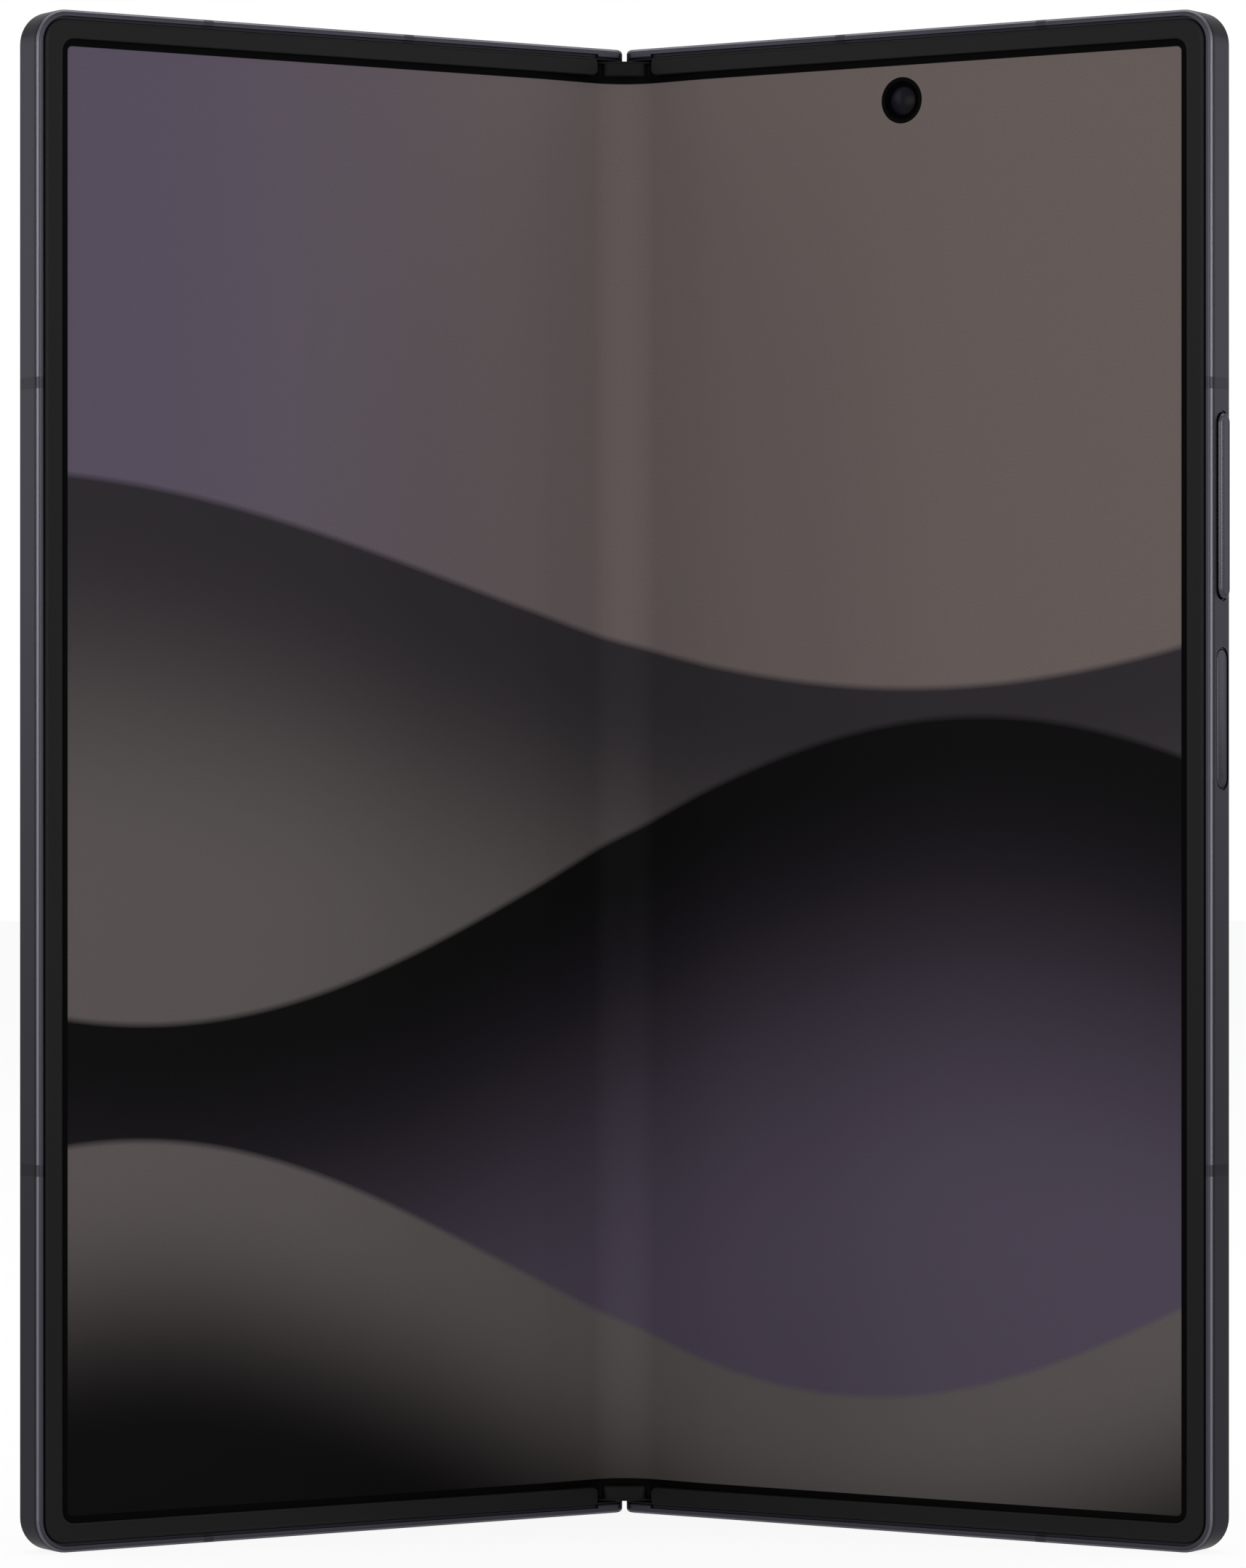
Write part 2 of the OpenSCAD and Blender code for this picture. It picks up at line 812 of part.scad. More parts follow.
module side_key() color("#3c3c42") on_right() key(side_z, -side_sunk);

// Dome switches on one strip, each a travel and a slip short of its key's flange
module key_switches() {
    base_u = half_u - wall_t - 2;
    base_t = 0.3;
    middle = (side_z[0] + side_z[1]) / 2;
    domes = [
        [middle, side_travel], [volume_z[0] + 3.5, volume_travel], [volume_z[1] - 3.5, volume_travel]
    ];
    color("goldenrod") on_right() {
        outward(base_u, base_u + base_t) translate([key_v - 0.8, side_z[0]])
            square([1.6, volume_z[1] - side_z[0]]);
        for (dome = domes)
            translate([base_u + base_t, key_v, dome[0]]) rotate([0, 90, 0])
                cylinder(r = 0.7, h = key_back_u - dome[1] - slip - base_u - base_t);
    }
}

module right_antenna_bands() on_right() antenna_bands();

module right_bezel_trim() on_right() bezel_trim();

module right_display_panel() {
    color("#141416") on_right() difference() {
        display_panel();
        translate([inner_camera_u, 0, inner_camera_z]) rotate([-90, 0, 0])
            cylinder(r = inner_camera_r + 0.05, h = 10, center = true);
    }
}

module right_hinge_pins() {
    color("lightsteelblue") on_spine() hinge_pins(
        fold_x, pinion_turn([fold_x, 0], [idler_x, idler_y], right_idler_turn)
    );
}

module right_wing_plate() on_right() wing_plate();

module right_wing_pins() on_right() wing_pins();

module right_battery() {
    color("#303338") on_right() plate(room_v + pack_gap, glass_v - 0.5)
        rounded_rect([12, 33], [66, 92], 1.5);
}

module main_board() {
    color("darkgreen") on_right() difference() {
        plate(board_v[0], board_v[1]) rounded_rect([12, 94], [48, 155], 1);
        screw_holes(right_screws_at);
        translate([inner_camera_u, 0, inner_camera_z]) rotate([-90, 0, 0]) cylinder(r = 3.4, h = 5);
    }
}

module shield_cans() {
    cans = [[14, 98, 16, 20], [32, 98, 14, 14], [14, 121, 14, 24], [31, 115, 15, 26]];
    color("silver") on_right() for (can = cans)
        plate(board_v[1], 2.6) rounded_rect([can[0], can[1]], [can[0] + can[2], can[1] + can[3]], 0.6);
}

module charging_coil() {
    turns = 9;
    turn_pitch = 1.1;
    inner_r = 9;
    color("#b8732e") on_right() translate([38, 0, 62]) rotate([-90, 0, 0]) rotate_extrude() {
        translate([inner_r, glass_v - 0.42]) square([turns * turn_pitch, 0.12]);
        for (i = [0:turns - 1])
            translate([inner_r + i * turn_pitch, glass_v - 0.35]) square([0.8, 0.3]);
    }
}

// Bores of the lens openings, along the phone's thickness
module lens_bores(r) {
    for (z = lens_zs)
        translate([island_u, 0, z]) rotate([-90, 0, 0]) cylinder(r = r, h = 20);
}

module back_glass() {
    color("#34343a") on_right() difference() {
        plate(glass_v, back_v) half_sheet(back_edge_u, back_rim_w, corner_r - back_rim_w);
        lens_bores(lens_r);
        translate([flash_u, 0, flash_z]) rotate([-90, 0, 0]) cylinder(r = flash_r, h = 10);
    }
}

module inner_camera() {
    color("black") on_right() {
        plate(screen_v + 0.05, 2.4) translate([inner_camera_u, inner_camera_z])
            circle(inner_camera_r);
        plate(room_v + pack_gap, 2.4) translate([inner_camera_u - 2.3, inner_camera_z - 2.3])
            square(4.6);
    }
}

module camera_island() {
    length = island_w + 2 * lens_pitch;
    color("#3f3f46") on_right() difference() {
        plate(back_v, back_v + island_h)
            translate([island_u, lens_zs[1]]) pill(island_w, length);
        lens_bores(lens_r);
    }
}

module camera_rings() {
    top_v = back_v + island_h;
    color("#26262a") on_right() for (z = lens_zs)
        translate([island_u, 0, z]) rotate([-90, 0, 0]) rotate_extrude()
            polygon([[lens_r, top_v], [ring_r, top_v], [ring_r, top_v + 0.45],
                [ring_r - 0.4, top_v + 0.7], [lens_r + 0.25, top_v + 0.7], [lens_r, top_v + 0.5]]);
}

module camera_lenses() {
    color("#0a0a12") on_right() for (z = lens_zs)
        translate([island_u, 0, z]) plate(back_v + island_h - 0.1, back_v + island_h + 0.4)
            circle(lens_r);
}

module rear_camera_modules() {
    color("black") on_right() for (z = lens_zs) translate([island_u, 0, z]) {
        plate(room_v + pack_gap, back_v + island_h - 0.2) circle(module_r);
        plate(room_v + pack_gap, 2.3) square(2 * module_r + 1, center = true);
    }
}

module flash_lens() {
    color("ivory") on_right() translate([flash_u, 0, flash_z]) plate(glass_v - 0.3, back_v)
        circle(flash_r);
}

module usb_outline(grow) {
    pill(usb_size.x + 2 * grow, usb_size.y + 2 * grow);
}

module usb_space() {
    translate([usb_u, usb_v, -1]) linear_extrude(usb_depth + 2) usb_outline(usb_wall);
}

module usb_socket() {
    color("silver") on_right() translate([usb_u, usb_v, 0]) {
        difference() {
            upright(0.1, usb_depth + 0.8) usb_outline(usb_wall);
            upright(-1, usb_depth) usb_outline(0);
        }
        upright(1, usb_depth + 0.4) square([6.69, 0.7], center = true);
    }
}

module usb_board() {
    color("darkgreen") on_right() difference() {
        plate(board_v[0], board_v[1]) rounded_rect([28.5, usb_depth + 1.2], [43, 30], 0.8);
        screw_holes(right_screws_at);
    }
}

module loudspeaker() {
    color("#2a2a2e") on_right() plate(room_v + pack_gap, glass_v - pack_gap)
        rounded_rect([51.5, 2], [66, 20], 1);
}

module sim_cage() {
    clear = 0.08;
    wall = 0.25;
    low = [tray_u[0] - clear - wall, tray_v[0] - clear - wall];
    size = [tray_u[1] - tray_u[0] + 2 * (clear + wall), tray_v[1] - tray_v[0] + 2 * (clear + wall)];
    color("silver") on_right() difference() {
        translate([low.x, low.y, wall_t + 0.1]) cube([size.x, size.y, tray_len + 1]);
        translate([low.x + wall, low.y + wall, 0])
            cube([size.x - 2 * wall, size.y - 2 * wall, tray_len + wall_t + 0.6]);
    }
}

// Two card wells with open floors, behind a head that fills the opening in the frame
module sim_tray() {
    size = [tray_u[1] - tray_u[0], tray_v[1] - tray_v[0]];
    card = [9, 8.8];
    ledge = 0.8;
    color("#45454c") on_right() translate([tray_u[0], tray_v[0], 0.02]) difference() {
        cube([size.x, size.y, tray_len]);
        for (z = [3, 13.5])
            translate([(size.x - card.x) / 2, 0, z]) {
                translate([0, 0.35, 0]) cube([card.x, size.y, card.y]);
                translate([ledge, -1, ledge])
                    cube([card.x - 2 * ledge, 2 * size.y + 1, card.y - 2 * ledge]);
            }
        translate([1.2, size.y / 2, -1]) cylinder(r = 0.35, h = 3);
    }
}

module right_magnets() on_right() magnets();

module right_screws() on_right() screws(right_screws_at);

// ---------- Assembly ----------

hinge_cover();
hinge_end_blocks();
top_hinge_guard();
bottom_hinge_guard();
shaft_carriers();
friction_clips();
left_idler_shaft();
right_idler_shaft();
fold_display();
left_frame();
left_antenna_bands();
left_bezel_trim();
left_display_panel();
left_hinge_pins();
left_wing_plate();
left_wing_pins();
left_battery();
sub_board();
cover_display_panel();
cover_glass();
cover_camera();
earpiece_speaker();
vibration_motor();
left_magnets();
left_screws();
right_frame();
right_antenna_bands();
right_bezel_trim();
right_display_panel();
right_hinge_pins();
right_wing_plate();
right_wing_pins();
right_battery();
main_board();
shield_cans();
charging_coil();
back_glass();
inner_camera();
camera_island();
camera_rings();
camera_lenses();
rear_camera_modules();
flash_lens();
usb_socket();
usb_board();
loudspeaker();
sim_cage();
sim_tray();
volume_key();
side_key();
key_switches();
right_magnets();
right_screws();
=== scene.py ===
"""Finish of a thin folding phone: screens, trims, keys, cameras, ports, metal and glass."""

import json
import math

import bmesh
import bpy
from bpy.props import FloatProperty, FloatVectorProperty, IntProperty, PointerProperty
from mathutils import Matrix, Vector


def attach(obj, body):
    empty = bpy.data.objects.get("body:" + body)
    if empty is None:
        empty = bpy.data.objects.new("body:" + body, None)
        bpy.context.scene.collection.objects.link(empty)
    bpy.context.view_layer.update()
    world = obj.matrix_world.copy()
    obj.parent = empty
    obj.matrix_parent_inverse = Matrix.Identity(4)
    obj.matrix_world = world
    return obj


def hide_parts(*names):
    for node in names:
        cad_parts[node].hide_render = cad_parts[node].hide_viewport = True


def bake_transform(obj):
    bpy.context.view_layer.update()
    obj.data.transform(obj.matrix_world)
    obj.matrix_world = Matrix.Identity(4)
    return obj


bl_info = {
    "name": "Folding phone finish",
    "version": (1, 0, 0),
    "blender": (4, 5, 0),
    "location": "3D View > Sidebar > Folding phone",
    "description": "Adds the visible surfaces of a folding phone round its solid model",
    "category": "Object",
}

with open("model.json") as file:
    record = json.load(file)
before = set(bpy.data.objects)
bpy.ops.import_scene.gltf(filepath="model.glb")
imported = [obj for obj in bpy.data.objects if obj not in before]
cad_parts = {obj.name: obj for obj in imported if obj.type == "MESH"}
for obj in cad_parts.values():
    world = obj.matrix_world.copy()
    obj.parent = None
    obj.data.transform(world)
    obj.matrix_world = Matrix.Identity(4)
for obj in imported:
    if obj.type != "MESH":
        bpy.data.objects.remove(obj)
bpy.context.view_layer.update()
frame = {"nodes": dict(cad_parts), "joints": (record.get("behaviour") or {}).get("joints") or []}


# ---------- Sizes shared with the solid model, in millimetres ----------

MM = 0.001
JOINTS = {joint["name"]: joint for joint in frame["joints"]}
FOLD = JOINTS["left_fold"]
FOLD_X = -FOLD["pos_m"][0] / MM
FOLD_Y = FOLD["pos_m"][1] / MM
REST_FOLD = math.radians(-FOLD["range_deg"][0])
PHONE_H = 158.4
HALF_W = 71.6
HALF_U = HALF_W - FOLD_X
FRONT_V = -0.95
TRIM_V = -0.90
SCREEN_V = -0.60
GLASS_V = 2.80
BACK_V = 3.25
TRIM_MARGIN = 0.95
TRIM_W = 2.05
PANEL_MARGIN = 1.35
PANEL_R = 2.1
HINGE_END_Z = 1.3
KEY_V = 1.45
KEY_W = 2.1
KEY_FLANGE = (HALF_U - 1.75, HALF_U - 1.35)
VOLUME_PROUD = 0.45
VOLUME_Z = (97.9, 117.0)
SIDE_Z = (78.5, 92.7)
INNER_CAMERA = (33.55, 151.0)
CAMERA_HOLE_R = 2.0
COVER_CAMERA = (HALF_U / 2, PHONE_H - 7)
LENS_U = 57.0
LENS_ZS = (143.0, 123.8, 104.6)
LENS_R = 6.2
RING_R = 8.4
ISLAND_V = BACK_V + 1.5
COVER_U = (1.6, HALF_U - 0.9)
FLASH = (44.2, 143.0)
USB = (35.2, 1.33)
SPEAKER_US = [53.2 + 2.9 * i for i in range(5)]
SLOT_V = 1.2

# Wing plates, the bend of the inner screen and how far from the fold it rides on the spine
WING = (9.2, 0.25)
WING_TILT = math.radians(13) * REST_FOLD / math.radians(90)
BEND_R = 5.5
NOTCH_X = 2.85
NOTCH_Z = 3.05

# The screen's picture is drawn on its UV map: 0.2 m of screen to one unit, middle at the fold
UV_SPAN = 0.2

# Sockets of a Mix node that mixes colours
MIX_A, MIX_B, MIX_OUT = 6, 7, 2

# Half the width in mm over which a printed edge passes from one colour to the other
EDGE_BLUR = 0.03

# A dyed metal, whose dye takes away part of its gloss at the edges
DYED_METAL = {"Metallic": 1.0, "Specular_Tint": (0.6, 0.6, 0.6, 1.0)}

# How far behind a frame's front its plain walls begin, in mm; in front of that the frame's colour
# holds painted light and shade
RIM_ZONE = 0.85


def half_place(side):
    """From a half's own millimetres (out, back, up) to the row frame. side is 1 right, -1 left."""
    cos, sin = math.cos(REST_FOLD), math.sin(REST_FOLD)
    turn = Matrix(((side * cos, side * sin, 0), (-sin, cos, 0), (0, 0, 1)))
    start = Vector((side * FOLD_X, FOLD_Y, 0))
    return Matrix.Translation(start * MM) @ turn.to_4x4() @ Matrix.Scale(MM, 4)


def spine_place():
    """From the hinge spine's own millimetres to the row frame."""
    return Matrix.Translation(Vector((0, FOLD_Y, 0)) * MM) @ Matrix.Scale(MM, 4)


def body_place(body):
    """From a body's own millimetres to the row frame. The keys share the right half's."""
    if body == "spine":
        return spine_place()
    return half_place(-1 if body == "left_half" else 1)


# ---------- Colour and node helpers ----------


def colour(hex_code):
    """Linear colour of an sRGB hex value."""
    channels = [int(hex_code[i : i + 2], 16) / 255 for i in (1, 3, 5)]
    return [c / 12.92 if c <= 0.04045 else ((c + 0.055) / 1.055) ** 2.4 for c in channels]


def add(tree, kind, sockets=None, **settings):
    """Adds a node, applies its settings, and links or sets its sockets."""
    node = tree.nodes.new(kind)
    for name, value in settings.items():
        setattr(node, name, value)
    for key, value in (sockets or {}).items():
        if isinstance(value, bpy.types.NodeSocket):
            tree.links.new(value, node.inputs[key])
        else:
            node.inputs[key].default_value = value
    return node


def new_material(name, **sockets):
    """A material with a Principled shader, and the sockets that are the same all over it."""
    material = bpy.data.materials.new(name)
    material.use_nodes = True
    shader = material.node_tree.nodes["Principled BSDF"]
    for key, value in sockets.items():
        shader.inputs[key.replace("_", " ")].default_value = value
    return material, material.node_tree, shader


def feed(tree, shader, **sockets):
    """Links sockets of a shader to where their values come from."""
    for key, value in sockets.items():
        tree.links.new(value, shader.inputs[key.replace("_", " ")])


def maths(tree, operation, *values):
    """The result of a Math node."""
    return add(tree, "ShaderNodeMath", dict(enumerate(values)), operation=operation).outputs[0]


def vector_maths(tree, operation, *values, scale=None):
    """The result of a Vector Math node, which is a number for a length or a product."""
    sockets = dict(enumerate(values))
    if scale is not None:
        sockets["Scale"] = scale
    node = add(tree, "ShaderNodeVectorMath", sockets, operation=operation)
    single = operation in ("DOT_PRODUCT", "LENGTH", "DISTANCE")
    return node.outputs["Value" if single else "Vector"]


def ranged(tree, value, start, end, low=0.0, high=1.0, shape="LINEAR"):
    """A value that runs from low to high while another runs from start to end."""
    sockets = {"Value": value, "From Min": start, "From Max": end, "To Min": low, "To Max": high}
    return add(tree, "ShaderNodeMapRange", sockets, interpolation_type=shape).outputs["Result"]


def rgba(value):
    """A colour with full alpha, or the socket that one comes from."""
    return value if isinstance(value, bpy.types.NodeSocket) else (*value, 1.0)


def mixed(tree, share, low, high):
    """A colour between two others, as a socket."""
    sockets = {0: share, MIX_A: rgba(low), MIX_B: rgba(high)}
    return add(tree, "ShaderNodeMix", sockets, data_type="RGBA").outputs[MIX_OUT]


def object_place(tree):
    """Where a point is on its own object, as a socket."""
    return add(tree, "ShaderNodeTexCoord").outputs["Object"]


def noise(tree, place, scale, detail=2.0):
    """Noise from 0 to 1 at that place, as a socket."""
    sockets = {"Vector": place, "Scale": scale, "Detail": detail}
    return add(tree, "ShaderNodeTexNoise", sockets).outputs["Fac"]


def speckle(tree, shader, low, high, grain, depth, roughness=None):
    """Colour between low and high on a fine grain of that size in mm, with bump. Returns the
    colour's socket."""
    fleck = noise(tree, object_place(tree), 1 / (grain * MM), 3.0)
    tone = mixed(tree, fleck, low, high)
    sockets = {"Height": fleck, "Strength": 0.3, "Distance": depth * MM}
    bump = add(tree, "ShaderNodeBump", sockets)
    feed(tree, shader, Base_Color=tone, Normal=bump.outputs["Normal"])
    if roughness:
        feed(tree, shader, Roughness=ranged(tree, fleck, 0, 1, *roughness))
    return tone


def shades(value, spread):
    """A darker and a lighter shade of a colour, that share apart."""
    return [c * (1 - spread) for c in value], [c * (1 + spread) for c in value]


def grained(name, value, spread, grain, depth, roughness=None, **sockets):
    """A material with a fine grain: its shades are that share apart, its size and depth in mm."""
    material, tree, shader = new_material(name, **sockets)
    speckle(tree, shader, *shades(value, spread), grain, depth, roughness)
    return material


# ---------- Materials ----------


def anodised_aluminium(name, value):
    """Dyed anodised aluminium, bead-blasted: soft satin reflections that the dye also dims at the
    edges, and a grit of about 0.1 mm, drawn at 0.2 mm so that it shows."""
    return grained(name, value, 0.05, 0.2, 0.004, (0.30, 0.40), **DYED_METAL)


def rimmed_aluminium_with_painted_light(name, side, walls, rim):
    """Anodised aluminium of a half's frame: bead-blasted walls and front face, with the front face
    painted lighter as painted light; a diamond-cut rim between them, whose brighter colour is
    partly a painted highlight; and a dark line of painted shade where the cut meets the walls,
    which also paints shade on the recessed floor between rim and trim. The plastic bands are cut
    with the frame, so they have the same painted light and shade in their own tones. side is 1
    right, -1 left."""
    material, tree, shader = new_material(name, **DYED_METAL)
    shade = speckle(tree, shader, [0.94] * 3, [1.06] * 3, 0.2, 0.004, (0.30, 0.40))
    backwards = Vector((side * math.sin(REST_FOLD), math.cos(REST_FOLD), 0))
    depth = vector_maths(tree, "DOT_PRODUCT", object_place(tree), backwards)
    front = (Vector((side * FOLD_X, FOLD_Y, 0)).dot(backwards) + FRONT_V) * MM
    share = ranged(tree, depth, front, front + RIM_ZONE * MM)
    zones = add(tree, "ShaderNodeValToRGB", {0: share})
    ramp = zones.color_ramp
    # Painted light: the front face is the walls' tone made 1.5 times lighter. Painted shade: the
    # dark line is 0.6 times as bright, and it also falls on the recessed floor between rim and
    # trim.
    face, line = [c * 1.5 for c in walls], [c * 0.6 for c in walls]
    ramp.elements[0].color = rgba(face)
    ramp.elements[1].color = rgba(walls)
    # Stops by depth: the painted-light face, the rim (partly a painted highlight), then the
    # painted-shade line
    for at, tone in ((0.04, face), (0.07, rim), (0.25, rim), (0.33, line), (0.6, line)):
        ramp.elements.new(at / RIM_ZONE).color = rgba(tone)
    # The painted light and shade by depth, times the grain
    dyed = vector_maths(tree, "MULTIPLY", zones.outputs["Color"], shade)
    feed(tree, shader, Base_Color=dyed)
    return material


def polished_aluminium(name, value):
    """Tumbled and dyed aluminium: the frames' dye over a smoother face, with brighter edges."""
    return grained(name, value, 0.04, 0.4, 0.0005, (0.24, 0.30), **DYED_METAL)


def moulded_plastic(name, value, gloss, roughness=(0.42, 0.55)):
    """Plastic from a fine-eroded mould, such as glass-filled polyamide: dark and matt, with a
    0.15 mm texture."""
    return grained(name, value, 0.08, 0.15, 0.01, roughness, IOR=1.46, Specular_IOR_Level=gloss)


def brushed_steel(name, value):
    """Ground or drawn steel, bare, plated or blackened: fine upright lines 0.03 mm apart, drawn
    at 0.1 mm."""
    material, tree, shader = new_material(name, Metallic=1.0)
    sockets = {"Vector": object_place(tree), "Scale": (10 / MM, 10 / MM, 0.25 / MM)}
    lines = add(tree, "ShaderNodeMapping", sockets).outputs["Vector"]
    line = noise(tree, lines, 1.0)
    tone = mixed(tree, line, *shades(value, 0.18))
    feed(tree, shader, Base_Color=tone, Roughness=ranged(tree, line, 0, 1, 0.25, 0.42))
    return material


def etched_glass(name, value):
    """Acid-etched back glass over a colour film: matt, with a silky sparkle of 0.1 mm, drawn at
    0.2 mm."""
    film = {"IOR": 1.5, "Coat_Weight": 0.15, "Coat_Roughness": 0.25}
    return grained(name, value, 0.09, 0.2, 0.002, (0.38, 0.5), **film)


def clear_plastic(name, value):
    """Moulded polycarbonate over the flash: pale and smooth, with a sharp clean reflection."""
    return grained(name, value, 0.03, 6.0, 0.0, (0.03, 0.06), IOR=1.5)


def coated_lens(name, value, edge, roughness=0.04, gloss=0.12):
    """Multi-coated optical glass: near black with little reflection, and the coloured reflection of
    its coating painted into its colour towards its edge."""
    material, tree, shader = new_material(
        name, Roughness=roughness, IOR=1.55, Specular_IOR_Level=gloss
    )
    # Painted reflection: the edge colour mixed in where the glass faces away
    painted_reflection_share = add(tree, "ShaderNodeLayerWeight", {"Blend": 0.35}).outputs["Facing"]
    feed(tree, shader, Base_Color=mixed(tree, painted_reflection_share, value, edge))
    return material


def clear_glass(name):
    """Coated sapphire over the rear lenses: hard, nearly clear and almost free of reflections,
    with a faint dark tint that takes little of the light away."""
    material, tree, shader = new_material(
        name, Roughness=0.14, IOR=1.5, Alpha=0.1, Specular_IOR_Level=0.0
    )
    cloud = noise(tree, object_place(tree), 1 / (3 * MM))
    tint = mixed(tree, cloud, (0.004, 0.004, 0.008), (0.008, 0.008, 0.012))
    feed(tree, shader, Base_Color=tint)
    return material


def beyond_box(tree, spot, half, corner):
    """0 inside and 1 outside a rectangle round the origin, of that half size and corner radius,
    all in mm."""
    size = vector_maths(tree, "ABSOLUTE", spot)
    beyond = vector_maths(tree, "SUBTRACT", size, (half[0] - corner, half[1] - corner, 0))
    outside = vector_maths(tree, "MAXIMUM", beyond, (0, 0, 0))
    reach = vector_maths(tree, "LENGTH", outside)
    return ranged(tree, reach, corner - EDGE_BLUR, corner + EDGE_BLUR)


def cover_screen_glass(name, panel, border):
    """Polished aluminosilicate glass over a display that is off: the panel's blue-black, and the
    deeper black of the printed border round it."""
    material, tree, shader = new_material(name, Roughness=0.05, IOR=1.5, Specular_IOR_Level=0.16)
    place = object_place(tree)
    outwards = half_place(-1).to_3x3().col[0].normalized()
    across = vector_maths(tree, "DOT_PRODUCT", place, outwards)
    up = add(tree, "ShaderNodeSeparateXYZ", {0: place}).outputs["Z"]
    spot = add(tree, "ShaderNodeCombineXYZ", {"X": across, "Y": up}).outputs[0]
    middle = Vector((sum(COVER_U) / 2, 0, PHONE_H / 2))
    start = (half_place(-1) @ middle).dot(outwards)
    centred = vector_maths(tree, "SUBTRACT", spot, (start, PHONE_H / 2 * MM, 0))
    metric = vector_maths(tree, "SCALE", centred, scale=1 / MM)
    side_border, end_border, corner = 1.6, 2.5, 2.2
    half = ((COVER_U[1] - COVER_U[0]) / 2 - side_border, PHONE_H / 2 - end_border)
    beyond = beyond_box(tree, metric, half, corner)
    feed(tree, shader, Base_Color=mixed(tree, beyond, panel, border))
    return material


def solder_mask(name, value):
    """Circuit board under green solder mask, with copper tracks 0.4 mm wide that show through."""
    material, tree, shader = new_material(name, Roughness=0.35, IOR=1.5)
    spacing, half_track = 1.6 * MM, 0.12
    sockets = {"Vector": object_place(tree), "Scale": 1 / spacing}
    cells = add(tree, "ShaderNodeTexVoronoi", sockets, feature="DISTANCE_TO_EDGE")
    track = maths(tree, "LESS_THAN", cells.outputs["Distance"], half_track)
    tone = mixed(tree, track, value, [c * 2.2 for c in value])
    feed(tree, shader, Base_Color=tone)
    return material


def warm_metal(name, value):
    """Copper or gold plate: warm metal with a 0.2 mm grain, like the turns of the coil's wire."""
    return grained(name, value, 0.2, 0.2, 0.01, Metallic=1.0, Roughness=0.3)


def screen_picture(tree, place):
    """Soft rolling dunes in violet grey, taupe and near black, as a colour socket."""
    tones = bpy.context.scene.phone_colours
    axes = add(tree, "ShaderNodeSeparateXYZ", {0: place})
    across, up = axes.outputs["X"], axes.outputs["Y"]

    def blend(low, high, start, end, by):
        """Colour that passes from low to high as a value runs from start to end."""
        return mixed(tree, ranged(tree, by, start, end, shape="SMOOTHERSTEP"), low, high)

    picture = blend(tones.violet, tones.taupe, 0.12, 0.58, across)
    # Each dune: height at the middle, swell, waves across, phase, depth of its shade, two colours
    dunes = (
        (0.50, 0.055, 5.6, 0.9, 0.22, tones.shade, tones.grey),
        (0.35, 0.080, 6.2, 3.4, 0.30, tones.night, tones.dusk),
        (0.14, 0.070, 7.0, 0.2, 0.16, tones.grey, tones.night),
    )
    for height, swell, waves, phase, depth, crest, hollow in dunes:
        angle = maths(tree, "MULTIPLY_ADD", across, waves, phase)
        line = maths(tree, "MULTIPLY_ADD", maths(tree, "SINE", angle), swell, height)
        below = maths(tree, "SUBTRACT", line, up)
        body = blend(crest, hollow, 0.0, depth, below)
        picture = mixed(tree, ranged(tree, below, -0.002, 0.002), picture, body)
    # Pixel structure of the panel, 0.07 mm, drawn at 0.25 mm so that it shows
    grain = noise(tree, place, UV_SPAN / (0.25 * MM))
    return vector_maths(tree, "SCALE", picture, scale=ranged(tree, grain, 0, 1, 0.90, 1.10))


def lit_display(name, lit_half, camera):
    """Flexible display under a hard-coated film: the lit picture, the black printed border round it
    and the black ring round the camera, with a soft even gloss. lit_half is half the lit area's
    size in mm, and camera its camera's place and the ring's radius."""
    material, tree, shader = new_material(name, Roughness=0.5, IOR=1.45, Specular_IOR_Level=0.02)
    place = add(tree, "ShaderNodeUVMap", uv_map="screen").outputs["UV"]
    picture = screen_picture(tree, place)
    # Distances in mm from the middle of the whole screen
    span = UV_SPAN / MM
    from_middle = vector_maths(tree, "SUBTRACT", place, (0.5, PHONE_H / 2 / span, 0))
    metric = vector_maths(tree, "SCALE", from_middle, scale=span)
    centre = (camera[0], camera[1] - PHONE_H / 2, 0)
    to_camera = vector_maths(tree, "DISTANCE", metric, centre)
    ring = ranged(tree, to_camera, camera[2] - EDGE_BLUR, camera[2] + EDGE_BLUR, 1.0, 0.0)
    black = maths(tree, "MAXIMUM", beyond_box(tree, metric, lit_half, 0.5), ring)
    border = bpy.context.scene.phone_colours.border
    feed(tree, shader, Base_Color=mixed(tree, black, picture, border))
    return material


# ---------- Mesh helpers: shapes are drawn in a half's or the spine's own millimetres ----------


def new_mesh(name, points, faces):
    """A mesh of corner points and faces."""
    mesh = bpy.data.meshes.new(name)
    mesh.from_pydata(points, [], faces)
    return mesh


def new_object(name, data):
    """An object in the scene."""
    item = bpy.data.objects.new(name, data)
    bpy.context.scene.collection.objects.link(item)
    return item


def baked_mesh(item):
    """A copy of an object's mesh with its modifiers applied."""
    graph = bpy.context.evaluated_depsgraph_get()
    return bpy.data.meshes.new_from_object(item.evaluated_get(graph))


def finish_mesh(mesh, place, material, angle=32):
    """Moves a mesh to its place, turns its faces outwards and smooths what is round."""
    mesh.transform(place)
    work = bmesh.new()
    work.from_mesh(mesh)
    bmesh.ops.remove_doubles(work, verts=work.verts, dist=1e-7)
    bmesh.ops.recalc_face_normals(work, faces=work.faces)
    work.to_mesh(mesh)
    work.free()
    mesh.shade_smooth()
    mesh.set_sharp_from_angle(angle=math.radians(angle))
    if not mesh.materials:
        mesh.materials.append(material)
    return mesh


